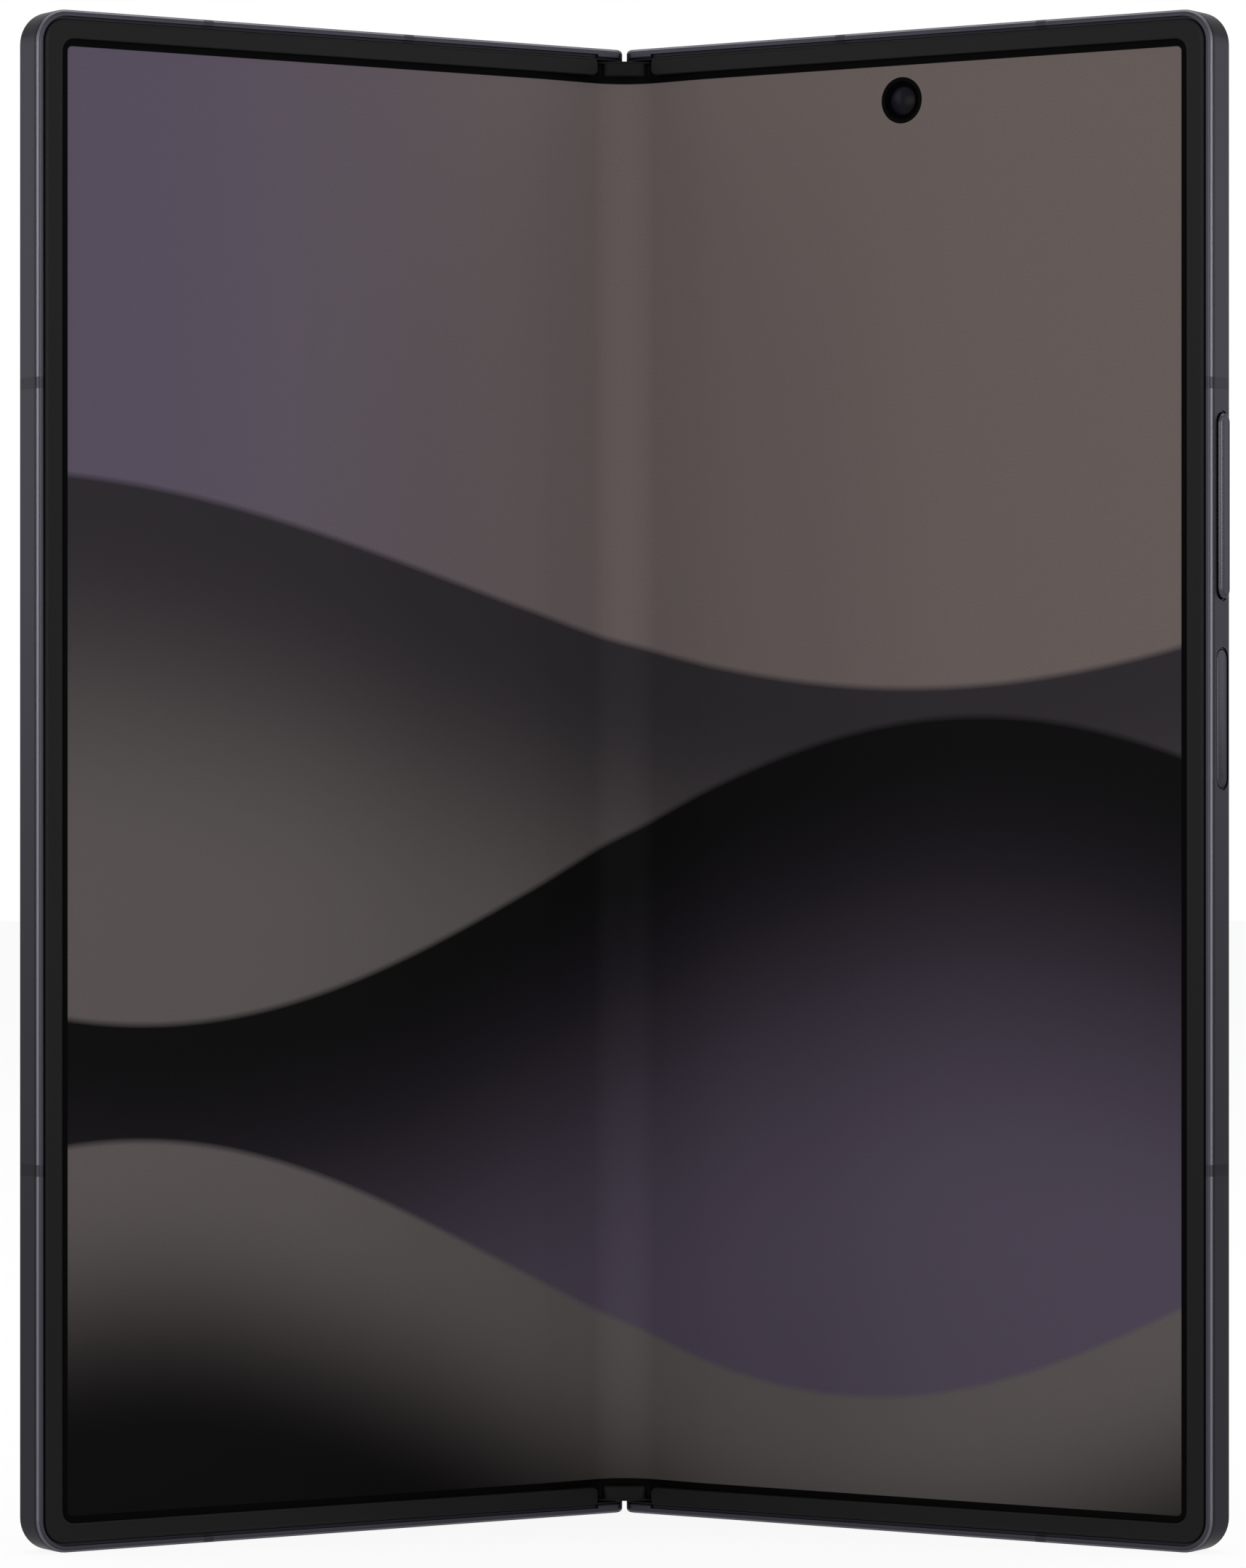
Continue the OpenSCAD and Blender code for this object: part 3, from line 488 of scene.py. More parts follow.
def piece_from(name, shapes, material, body, replaced=(), angle=32):
    """A piece made of shapes, each a pair of corner points and faces in its body's millimetres."""
    verts, faces = [], []
    for points, loops in shapes:
        faces += [[i + len(verts) for i in loop] for loop in loops]
        verts += [tuple(p) for p in points]
    mesh = new_mesh(name, verts, faces)
    mesh.validate()
    finish_mesh(mesh, body_place(body), material, angle)
    return add_piece(name, mesh, body, replaced)


def add_piece(name, mesh, body, replaced=()):
    """Puts a finished mesh in the scene as a piece that rides on a body."""
    piece = new_object(name, mesh)
    if body:
        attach(piece, body)
    if replaced:
        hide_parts(*replaced)
    return piece


def loft(rings):
    """Skin over closed rings of points, with a cap at each end."""
    count = len(rings[0])
    points = [p for ring in rings for p in ring]
    faces = []
    for r in range(len(rings) - 1):
        for i in range(count):
            j = (i + 1) % count
            faces.append([r * count + i, r * count + j, (r + 1) * count + j, (r + 1) * count + i])
    faces.append(list(range(count)))
    faces.append([(len(rings) - 1) * count + i for i in range(count)])
    return points, faces


def turned(profile, centre, steps=72):
    """Solid of revolution about an axis along the phone's thickness. profile is (radius, depth)."""
    points, faces, rows = [], [], []
    for radius, depth in profile:
        if radius == 0:
            rows.append([len(points)] * steps)
            points.append((centre[0], depth, centre[1]))
            continue
        rows.append([len(points) + i for i in range(steps)])
        for i in range(steps):
            turn = 2 * math.pi * i / steps
            across, up = radius * math.cos(turn), radius * math.sin(turn)
            points.append((centre[0] + across, depth, centre[1] + up))
    for a, b in zip(rows, rows[1:]):
        for i in range(steps):
            j = (i + 1) % steps
            faces.append(list(dict.fromkeys([a[i], a[j], b[j], b[i]])))
    return points, [f for f in faces if len(f) > 2]


def arc(start, end, count):
    """count + 1 angles in radians from start to end degrees."""
    return [math.radians(start + (end - start) * i / count) for i in range(count + 1)]


def side_path(margin, radius, inner_u):
    """Points (u, z) along a half's edge, that far inside it: bottom, outer side and top."""
    far, low, high = HALF_U - margin - radius, margin + radius, PHONE_H - margin - radius
    path = [(inner_u + (far - inner_u) * i / 8, margin) for i in range(8)]
    for z, angles in ((low, arc(-90, 0, 8)), (high, arc(0, 90, 8))):
        path += [(far + radius * math.cos(a), z + radius * math.sin(a)) for a in angles]
    path += [(far + (inner_u - far) * i / 8, PHONE_H - margin) for i in range(1, 9)]
    return path


def softened_box(low, high, radius):
    """Box with rounded long edges, drawn as rings from front to back."""
    curve = [(radius * (1 - math.sin(a)), radius * (1 - math.cos(a))) for a in arc(90, 0, 3)]
    depths = [(low[1] + step, inset) for step, inset in curve]
    depths += [(high[1] - depth + low[1], inset) for depth, inset in reversed(depths)]
    rings = []
    for depth, inset in depths:
        outline = rounded_outline(low, high, inset, max(radius, inset + 0.01))
        rings.append([(u, depth, z) for u, z in outline])
    return loft(rings)


def rounded_outline(low, high, inset, radius):
    """Points (u, z) of a rectangle with rounded corners, that far inside its edges."""
    u0, u1, z0, z1 = low[0] + inset, high[0] - inset, low[2] + inset, high[2] - inset
    r = max(radius - inset, 0.01)
    u0, u1, z0, z1 = u0 + r, u1 - r, z0 + r, z1 - r
    corners = ((u1, z1, 0), (u0, z1, 90), (u0, z0, 180), (u1, z0, 270))
    return [
        (u + r * math.cos(a), z + r * math.sin(a))
        for u, z, start in corners
        for a in arc(start, start + 90, 4)
    ]


def cut_round_hole(mesh, centre, radius, place):
    """Cuts a round hole through a mesh, along the phone's thickness."""
    front, back = -5, 5
    profile = [(0, front), (radius, front), (radius, back), (0, back)]
    bar = new_mesh("hole", *turned(profile, centre, 48))
    cutter = new_object("hole", finish_mesh(bar, place, mesh.materials[0]))
    target = new_object("target", mesh)
    cut = target.modifiers.new("hole", "BOOLEAN")
    cut.operation = "DIFFERENCE"
    cut.solver = "EXACT"
    cut.object = cutter
    result = baked_mesh(target)
    for item in (cutter, target):
        bpy.data.objects.remove(item)
    result.set_sharp_from_angle(angle=math.radians(40))
    return result


# ---------- Geometry Nodes: repeated parts ----------


def new_tree(name, inputs):
    """A Geometry Nodes tree with those inputs, and its group input node."""
    tree = bpy.data.node_groups.new(name, "GeometryNodeTree")
    for label, kind in inputs:
        tree.interface.new_socket(label, in_out="INPUT", socket_type=kind)
    tree.interface.new_socket("Geometry", in_out="OUTPUT", socket_type="NodeSocketGeometry")
    return tree, tree.nodes.new("NodeGroupInput")


def close_tree(tree, points, part, material, sockets=None):
    """Ends a tree: puts the part on the points, makes the copies real and sets their material."""
    sockets = {"Points": points.outputs[0], "Instance": part.outputs[0], **(sockets or {})}
    row = add(tree, "GeometryNodeInstanceOnPoints", sockets)
    real = add(tree, "GeometryNodeRealizeInstances", {"Geometry": row.outputs[0]})
    sockets = {"Geometry": real.outputs[0], "Material": material}
    painted = add(tree, "GeometryNodeSetMaterial", sockets)
    output = tree.nodes.new("NodeGroupOutput")
    tree.links.new(painted.outputs[0], output.inputs["Geometry"])


def grown_mesh(name, tree, values):
    """The plain mesh that a tree makes with those input values."""
    carrier = new_object(name, bpy.data.meshes.new(name))
    modifier = carrier.modifiers.new(name, "NODES")
    modifier.node_group = tree
    for item in tree.interface.items_tree:
        if item.in_out == "INPUT" and item.name in values:
            modifier[item.identifier] = values[item.name]
    mesh = baked_mesh(carrier)
    bpy.data.objects.remove(carrier)
    return mesh


def ring_stack_tree(material):
    """Concentric rings that step down along the thickness, such as the ribs in a lens barrel."""
    labels = ("Outer radius", "Inner radius", "Depth", "Wire")
    inputs = [("Rings", "NodeSocketInt")] + [(label, "NodeSocketFloat") for label in labels]
    tree, given = new_tree("Ring stack", inputs)
    count, outer, inner, depth, wire = given.outputs[:5]
    line = add(tree, "GeometryNodeMeshLine", {"Count": count, "Offset": (0, 0, 0)})
    index = add(tree, "GeometryNodeInputIndex").outputs[0]
    share = maths(tree, "DIVIDE", index, maths(tree, "SUBTRACT", count, 1.0))
    drop = add(tree, "ShaderNodeCombineXYZ", {"Y": maths(tree, "MULTIPLY", share, depth)})
    sockets = {"Geometry": line.outputs[0], "Offset": drop.outputs[0]}
    moved = add(tree, "GeometryNodeSetPosition", sockets)
    size = ranged(tree, share, 0, 1, 1.0, maths(tree, "DIVIDE", inner, outer))
    circles = [
        add(tree, "GeometryNodeCurvePrimitiveCircle", {"Resolution": steps, "Radius": radius})
        for steps, radius in ((64, outer), (8, wire))
    ]
    sockets = {"Curve": circles[0].outputs[0], "Profile Curve": circles[1].outputs[0]}
    hoop = add(tree, "GeometryNodeCurveToMesh", sockets)
    sockets = {"Geometry": hoop.outputs[0], "Rotation": (math.radians(90), 0, 0)}
    upright = add(tree, "GeometryNodeTransform", sockets)
    scale = add(tree, "ShaderNodeCombineXYZ", {"X": size, "Y": 1.0, "Z": size})
    close_tree(tree, moved, upright, material, {"Scale": scale.outputs[0]})
    return tree


def bar_row_tree(material):
    """A row of equal bars, such as a socket's contacts or the wires of a grille."""
    inputs = [("Bars", "NodeSocketInt"), ("Pitch", "NodeSocketVector")]
    tree, given = new_tree("Bar row", inputs + [("Bar size", "NodeSocketVector")])
    count, pitch, size = given.outputs[:3]
    line = add(tree, "GeometryNodeMeshLine", {"Count": count, "Offset": pitch})
    bar = add(tree, "GeometryNodeMeshCube", {"Size": size})
    close_tree(tree, line, bar, material)
    return tree


def grown_piece(name, parts, material, body):
    """A piece joined from pairs of a mesh and its spot in the body's millimetres."""
    work = bmesh.new()
    for mesh, spot in parts:
        copy = mesh.copy()
        copy.transform(Matrix.Translation(spot))
        work.from_mesh(copy)
        bpy.data.meshes.remove(copy)
    result = bpy.data.meshes.new("joined")
    work.to_mesh(result)
    work.free()
    for used in parts[0][0].materials:
        result.materials.append(used)
    add_piece(name, finish_mesh(result, body_place(body), material), body)


# ---------- Settings in the sidebar ----------


def length(label, words, size):
    """A length property with its name, description and default in mm."""
    return FloatProperty(name=label, description=words, default=size * MM, unit="LENGTH")


class PhoneSizes(bpy.types.PropertyGroup):
    """Sizes of the pieces that the solid model leaves plain."""

    screen_thickness: length("Screen thickness", "Thickness of the flexible screen", 0.2)
    lit_margin: length("Side border", "Black print between the trim and the picture's side", 0.68)
    end_margin: length("End border", "Black print above and below the picture", 0.73)
    trim_lip: length("Trim bevel", "Width of the rounded bevel along the trim's outer edge", 0.26)
    key_round: length("Key rounding", "Radius along the edges of the volume key", 0.4)
    camera_ring: length("Camera ring", "Radius of the black print round the inner camera", 2.45)
    barrel_ribs: IntProperty(
        name="Ribs in a lens barrel",
        description="Rings on the black cone inside each rear lens",
        default=9,
        min=3,
        max=16,
    )


def hue(label, words, hex_code):
    """A colour property with its name, description and default."""
    look = {"subtype": "COLOR", "size": 3, "min": 0, "max": 1, "default": colour(hex_code)}
    return FloatVectorProperty(name=label, description=words, **look)


class PhoneColours(bpy.types.PropertyGroup):
    """Colours of the finishes and of the screen's picture."""

    body: hue("Frame", "Dyed aluminium of the frames", "#2c2b31")
    # Partly a cut edge, partly a painted highlight on the keys' rounded edges
    key: hue("Key edges", "Brighter cut edge round the keys", "#45444a")
    # Partly a diamond-cut edge, partly a painted highlight on the rounded front edge
    rim: hue("Rims", "Diamond-cut rim round the front of the frames", "#5b5a60")
    band: hue("Antenna bands", "Plastic bands in the frames", "#25252a")
    trim: hue("Trims", "Plastic trim round the inner screen", "#0c0c0d")
    guard: hue("Hinge guards", "Plastic over the hinge's ends", "#101011")
    back: hue("Back glass", "Colour film under the etched glass", "#3b3b44")
    border: hue("Screen border", "Black print round the lit picture", "#030303")
    violet: hue("Picture, violet grey", "Upper left of the screen's picture", "#534b5a")
    taupe: hue("Picture, taupe", "Upper right of the screen's picture", "#615856")
    grey: hue("Picture, warm grey", "Middle of the upper dune", "#55504f")
    shade: hue("Picture, shade", "Crest of the upper dune", "#2b282c")
    dusk: hue("Picture, dusk", "Foot of the middle dune", "#4a4250")
    night: hue("Picture, night", "Crest of the middle dune", "#0d0c0d")


# ---------- Operators: one for each piece or group of like pieces ----------


class Step:
    """What the operators share: each makes or finishes its pieces from the sidebar's settings."""

    def execute(self, context):
        self.make(context.scene.phone_colours, context.scene.phone_sizes)
        return {"FINISHED"}


def paint(nodes, material):
    """Gives CAD nodes, named with spaces between, a finished material."""
    for name in nodes.split():
        mesh = frame["nodes"][name].data
        for i in range(len(mesh.materials)):
            mesh.materials[i] = material


class PHONE_OT_metalwork(Step, bpy.types.Operator):
    """Finishes the frames, the bands, the hinge and the small metal parts"""

    bl_idname = "phone.metalwork"
    bl_label = "Metalwork"

    def make(self, tones, sizes):
        for side, half in ((-1, "left"), (1, "right")):
            # Each frame and band: colour zoned by depth, with a front face painted lighter, a rim
            # that is partly a painted highlight and a line of painted shade
            metal = rimmed_aluminium_with_painted_light(f"Anodised {half} frame", side, tones.body, tones.rim)
            paint(f"{half}_frame", metal)
            name, rim = f"Metal-flake {half} band plastic", [c * 0.4 for c in tones.rim]
            paint(f"{half}_antenna_bands", rimmed_aluminium_with_painted_light(name, side, tones.band, rim))
        paint("sim_tray", anodised_aluminium("Anodised card tray", tones.body))
        cover = anodised_aluminium("Anodised hinge cover", [c * 0.9 for c in tones.body])
        paint("hinge_cover", cover)
        dark = brushed_steel("Blackened steel", colour("#0d0d0e"))
        paint("hinge_end_blocks shaft_carriers left_wing_plate right_wing_plate", dark)
        paint("left_hinge_pins right_hinge_pins", dark)
        bright = brushed_steel("Ground stainless steel", colour("#a3a4a8"))
        paint("friction_clips left_idler_shaft right_idler_shaft", bright)
        paint("left_wing_pins right_wing_pins left_screws right_screws", bright)


class PHONE_OT_internals(Step, bpy.types.Operator):
    """Finishes the boards, batteries, speakers and other parts inside the halves"""

    bl_idname = "phone.internals"
    bl_label = "Internals"

    def make(self, tones, sizes):
        for nodes, material in (
            ("main_board sub_board usb_board", solder_mask("Solder mask", colour("#16402a"))),
            ("left_battery right_battery", moulded_plastic("Battery wrap", colour("#2c2d30"), 0.4)),
            (
                "earpiece_speaker loudspeaker cover_display_panel cover_camera",
                moulded_plastic("Black polycarbonate", colour("#1a1a1c"), 0.3),
            ),
            (
                "shield_cans vibration_motor left_magnets right_magnets sim_cage",
                brushed_steel("Tinned steel", colour("#b4b4b6")),
            ),
            ("charging_coil", warm_metal("Enamelled copper", colour("#b8713a"))),
            ("usb_socket", brushed_steel("Plated socket steel", colour("#a8a8ac"))),
            ("key_switches", warm_metal("Gold-plated brass", colour("#caa25c"))),
        ):
            paint(nodes, material)


def screen_profile(offset):
    """The inner screen's section at rest, from the fold outwards, that far behind its front:
    (x, y, distance along the front) in the spine's millimetres, right side."""
    cos, sin = math.cos(REST_FOLD), math.sin(REST_FOLD)
    slope = REST_FOLD + WING_TILT

    def folded(u, v):
        """From the half's own millimetres to the spine's."""
        return FOLD_X + u * cos + v * sin, v * cos - u * sin

    pivot = folded(*WING)
    lift = WING[1] - SCREEN_V
    bend_y = pivot[1] + (pivot[0] * math.sin(slope) - lift - BEND_R) / math.cos(slope)
    flat = (pivot[0] - (lift + BEND_R) * math.sin(slope)) / math.cos(slope)
    section = []
    for a in arc(0, math.degrees(slope), 14):
        r = BEND_R + offset
        section.append((r * math.sin(a), bend_y + r * math.cos(a), BEND_R * a))
    bent = BEND_R * slope
    for i in range(1, 13):
        along = flat * i / 12
        u, v = WING[0] - flat + along, SCREEN_V + offset
        du, dv = u - WING[0], v - WING[1]
        u = WING[0] + du * math.cos(WING_TILT) + dv * math.sin(WING_TILT)
        v = WING[1] - du * math.sin(WING_TILT) + dv * math.cos(WING_TILT)
        section.append((*folded(u, v), bent + along))
    far = HALF_U - PANEL_MARGIN
    steps = [WING[0] + (far - PANEL_R - WING[0]) * i / 10 for i in range(1, 11)]
    steps += [far - PANEL_R + PANEL_R * math.sin(a) for a in arc(9, 90, 9)]
    section += [(*folded(u, SCREEN_V + offset), bent + flat + u - WING[0]) for u in steps]
    return section


class PHONE_OT_inner_screen(Step, bpy.types.Operator):
    """Makes the flexible inner screen as two sheets, one on each side, that curve round the fold at
    rest and meet in its middle
    """

    bl_idname = "phone.inner_screen"
    bl_label = "Inner screen"

    def make(self, tones, sizes):
        thickness = sizes.screen_thickness / MM
        front, back = screen_profile(0.0), screen_profile(thickness)
        length = front[-1][2]
        lit = HALF_U - TRIM_MARGIN - TRIM_W - sizes.lit_margin / MM
        lit_far = length - (HALF_U - PANEL_MARGIN - lit)
        lit_half = (lit_far, PHONE_H / 2 - TRIM_MARGIN - TRIM_W - sizes.end_margin / MM)
        to_panel = length - (HALF_U - PANEL_MARGIN)
        camera = (INNER_CAMERA[0] + to_panel, INNER_CAMERA[1], sizes.camera_ring / MM)
        material = lit_display("Lit flexible display", lit_half, camera)
        place = spine_place()
        for side, name, body, nodes in (
            (-1, "left_inner_screen", "left_half", ["left_display_panel", "fold_display"]),
            (1, "right_inner_screen", "right_half", ["right_display_panel"]),
        ):
            mesh = self.sheet(name, side, front, back, length)
            mesh.materials.append(material)
            finish_mesh(mesh, place, material, 40)
            if side > 0:
                mesh = cut_round_hole(mesh, INNER_CAMERA, CAMERA_HOLE_R, half_place(1))
            piece = add_piece(name, mesh, None, nodes)
            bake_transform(piece)

    @staticmethod
    def sheet(name, side, front, back, length):
        """One side's sheet, closed all round, with the picture's UV map."""
        rings, spots = [], []
        for (x, y, s), (bx, by, _) in zip(front, back):
            edge = max(0.0, s - (length - PANEL_R))
            low = PANEL_MARGIN + PANEL_R - math.sqrt(max(0.0, PANEL_R**2 - edge**2))
            if x < NOTCH_X:
                low = NOTCH_Z
            heights = [low + (PHONE_H - 2 * low) * i / 6 for i in range(7)]
            ring = [(side * x, y, z) for z in heights]
            ring += [(side * bx, by, z) for z in reversed(heights)]
            rings.append(ring)
            spots.append([(side * s, z) for z in heights + heights[::-1]])
        mesh = new_mesh(name, *loft(rings))
        flat = [spot for ring in spots for spot in ring]
        layer = mesh.uv_layers.new(name="screen")
        for loop in mesh.loops:
            s, z = flat[loop.vertex_index]
            layer.data[loop.index].uv = (0.5 + s * MM / UV_SPAN, z * MM / UV_SPAN)
        return mesh


class PHONE_OT_trims(Step, bpy.types.Operator):
    """Makes the raised trims round the inner screen"""

    bl_idname = "phone.trims"
    bl_label = "Screen trims"

    def make(self, tones, sizes):
        lip = sizes.trim_lip / MM
        material = moulded_plastic("Trim plastic", tones.trim, 0.12, (0.28, 0.36))
        # Section from the outer edge to the inner one: (distance in, depth)
        face = TRIM_V + 0.02
        section = [(0.0, SCREEN_V)]
        for a in arc(0, 90, 5):
            section.append((lip * (1 - math.cos(a)), TRIM_V + 0.24 * (1 - math.sin(a))))
        section += [(lip + 0.08, face), (lip + 0.14, face)]
        lips = ((0.30, 0), (0.24, 0), (0.16, -0.015), (0.08, 0.01), (0.02, 0.07), (0, 0.14))
        section += [(TRIM_W - inwards, face + drop) for inwards, drop in lips]
        section.append((TRIM_W, SCREEN_V))
        trim = self.trim(section)
        for half in ("left", "right"):
            replaced = [f"{half}_bezel_trim"]
            body = f"{half}_half"
            piece_from(f"{half}_screen_trim", [trim], material, body, replaced, 50)

    @staticmethod
    def trim(section):
        """The trim's section along its path, with rounded corners at both ends."""
        end_r, start_u, outer_r, inner_r = 0.6, 2.52, 2.2, 1.4
        rows = []
        for distance, depth in section:
            radius = outer_r + (inner_r - outer_r) * distance / TRIM_W
            path = side_path(TRIM_MARGIN + distance, radius, start_u + end_r)
            rows.append([(u, depth, z) for u, z in path])
        rings = [list(ring) for ring in zip(*rows)]
        # Rounded ends by the hinge: the path's bottom end, then its top end
        for bottom in (True, False):
            ends = []
            for a in arc(0, 80, 5):
                narrow = end_r * (1 - math.cos(a))
                keep = (TRIM_W - 2 * narrow) / TRIM_W
                u = start_u + end_r * (1 - math.sin(a))
                insets = [TRIM_MARGIN + narrow + distance * keep for distance, _ in section]
                heights = insets if bottom else [PHONE_H - inset for inset in insets]
                ends.append([(u, depth, z) for (_, depth), z in zip(section, heights)])
            rings = ends[::-1] + rings if bottom else rings + ends
        return loft(rings)


class PHONE_OT_hinge_guards(Step, bpy.types.Operator):
    """Makes the rounded plastic guards over the two ends of the hinge"""

    bl_idname = "phone.hinge_guards"
    bl_label = "Hinge guards"

    def make(self, tones, sizes):
        material = moulded_plastic("Guard plastic", tones.guard, 0.08)
        hood_reach, hood_end = 2.4, NOTCH_Z - 0.2
        plate_top = HINGE_END_Z + 0.25
        plate = (-NOTCH_X, -0.85, HINGE_END_Z), (NOTCH_X, -0.63, plate_top)
        bottom = [softened_box(*plate, 0.05), self.hood(hood_reach, plate_top, hood_end)]
        top = [([(x, y, PHONE_H - z) for x, y, z in points], faces) for points, faces in bottom]
        for name, shapes in (("bottom_hinge_guard", bottom), ("top_hinge_guard", top)):
            piece_from(f"{name}_cover", shapes, material, "spine", [name])

    @staticmethod
    def hood(reach, low, high):
        """Hood with a gently rounded front, hollow at the back."""
        # A squarish arch: how far it rises, and how square its sides and its front are
        rise, side_power, front_power, wall = 0.80, 0.55, 0.45, 0.2
        outline = []
        for a in arc(180, 0, 20):
            x = math.copysign(abs(math.cos(a)) ** side_power, math.cos(a)) * reach
            outline.append((x, -0.05 - rise * math.sin(a) ** front_power))
        inner = [(x * 0.93, y + wall) for x, y in outline]
        loop = outline + inner[::-1]
        rings = []
        for z, inset in ((low, 0.0), (high - 0.1, 0.0), (high - 0.03, 0.03), (high, 0.1)):
            rings.append([(x * (1 - inset / reach), y + inset, z) for x, y in loop])
        return loft(rings)


class PHONE_OT_keys(Step, bpy.types.Operator):
    """Makes the raised volume key and the flush side key"""

    bl_idname = "phone.keys"
    bl_label = "Keys"

    def make(self, tones, sizes):
        plain = polished_aluminium("Tumbled key metal", tones.body)
        # A lighter copy of the key metal for the rounded edges and flanks: partly a cut edge,
        # partly a painted highlight
        edge = polished_aluminium("Cut key edge with painted highlight", tones.key)
        outwards = half_place(1).to_3x3().col[0].normalized()
        for name, span, proud, rounding in (
            ("volume_key", VOLUME_Z, VOLUME_PROUD, sizes.key_round / MM),
            ("side_key", SIDE_Z, -0.02, 0.12),
        ):
            shapes = [self.cap(span, HALF_U + proud, rounding), self.flange(span)]
            cap = piece_from(f"{name}_cap", shapes, plain, name, [name])
            # Every face but the flat outer one takes the lighter copy, which is partly a painted
            # highlight
            cap.data.materials.append(edge)
            for face in cap.data.polygons:
                face.material_index = int(face.normal.dot(outwards) < 0.99)

    @staticmethod
    def stadium(span, u, inset):
        """Ring with half-round ends across the key, that far inside its edge."""
        r = KEY_W / 2 - inset
        ring = []
        for end, start in ((span[1] - KEY_W / 2, 0), (span[0] + KEY_W / 2, 180)):
            for a in arc(start, start + 180, 14):
                ring.append((u, KEY_V + r * math.cos(a), end + r * math.sin(a)))
        return ring

    def cap(self, span, top_u, rounding):
        """The key's body, from its flange out to its rounded face."""
        rings = [self.stadium(span, KEY_FLANGE[1], 0.0)]
        for a in arc(0, 90, 6):
            u = top_u - rounding * (1 - math.sin(a))
            rings.append(self.stadium(span, u, rounding * (1 - math.cos(a))))
        return loft(rings)

    @staticmethod
    def flange(span):
        """The wider plate that keeps the key in the frame."""
        low = (KEY_FLANGE[0], KEY_V - KEY_W / 2, span[0] - 0.5)
        high = (KEY_FLANGE[1], KEY_V + KEY_W / 2, span[1] + 0.5)
        return softened_box(low, high, 0.05)


class PHONE_OT_inner_camera(Step, bpy.types.Operator):
    """Makes the lens of the camera in the inner screen"""

    bl_idname = "phone.inner_camera"
    bl_label = "Inner camera"

    def make(self, tones, sizes):
        black = moulded_plastic("Camera barrel plastic", colour("#040405"), 0.0)
        seat, bore, outer_r, module = 0.1, 1.62, 1.93, 2.3
        barrel = [(0, seat), (bore, seat), (bore, -0.57), (1.65, -0.595), (1.9, -0.595)]
        barrel += [(outer_r, -0.58), (outer_r, 0.5), (0, 0.5), (0, seat)]
        u, z = INNER_CAMERA
        shapes = [
            turned(barrel, INNER_CAMERA),
            softened_box((u - module, 0.4, z - module), (u + module, 2.4, z + module), 0.1),
        ]
        replaced = ["inner_camera"]
        piece_from("inner_camera_barrel", shapes, black, "right_half", replaced)
        # A bead of a front lens: its radius, how far forward it comes and the slope of its edge
        lens_r, front, slope = 1.6, -0.57, 24
        ball = lens_r / math.sin(math.radians(slope))
        dome = [(ball * math.sin(a), ball + front - ball * math.cos(a)) for a in arc(3, slope, 8)]
        lens = turned([(0, front)] + dome + [(lens_r, 0.08), (0, 0.08)], INNER_CAMERA)
        # The second colour is the coating's painted reflection
        glass = coated_lens("Coated front lens", colour("#0a0a0b"), colour("#1c1530"), 0.3, 0.05)
        piece_from("inner_camera_lens", [lens], glass, "right_half")


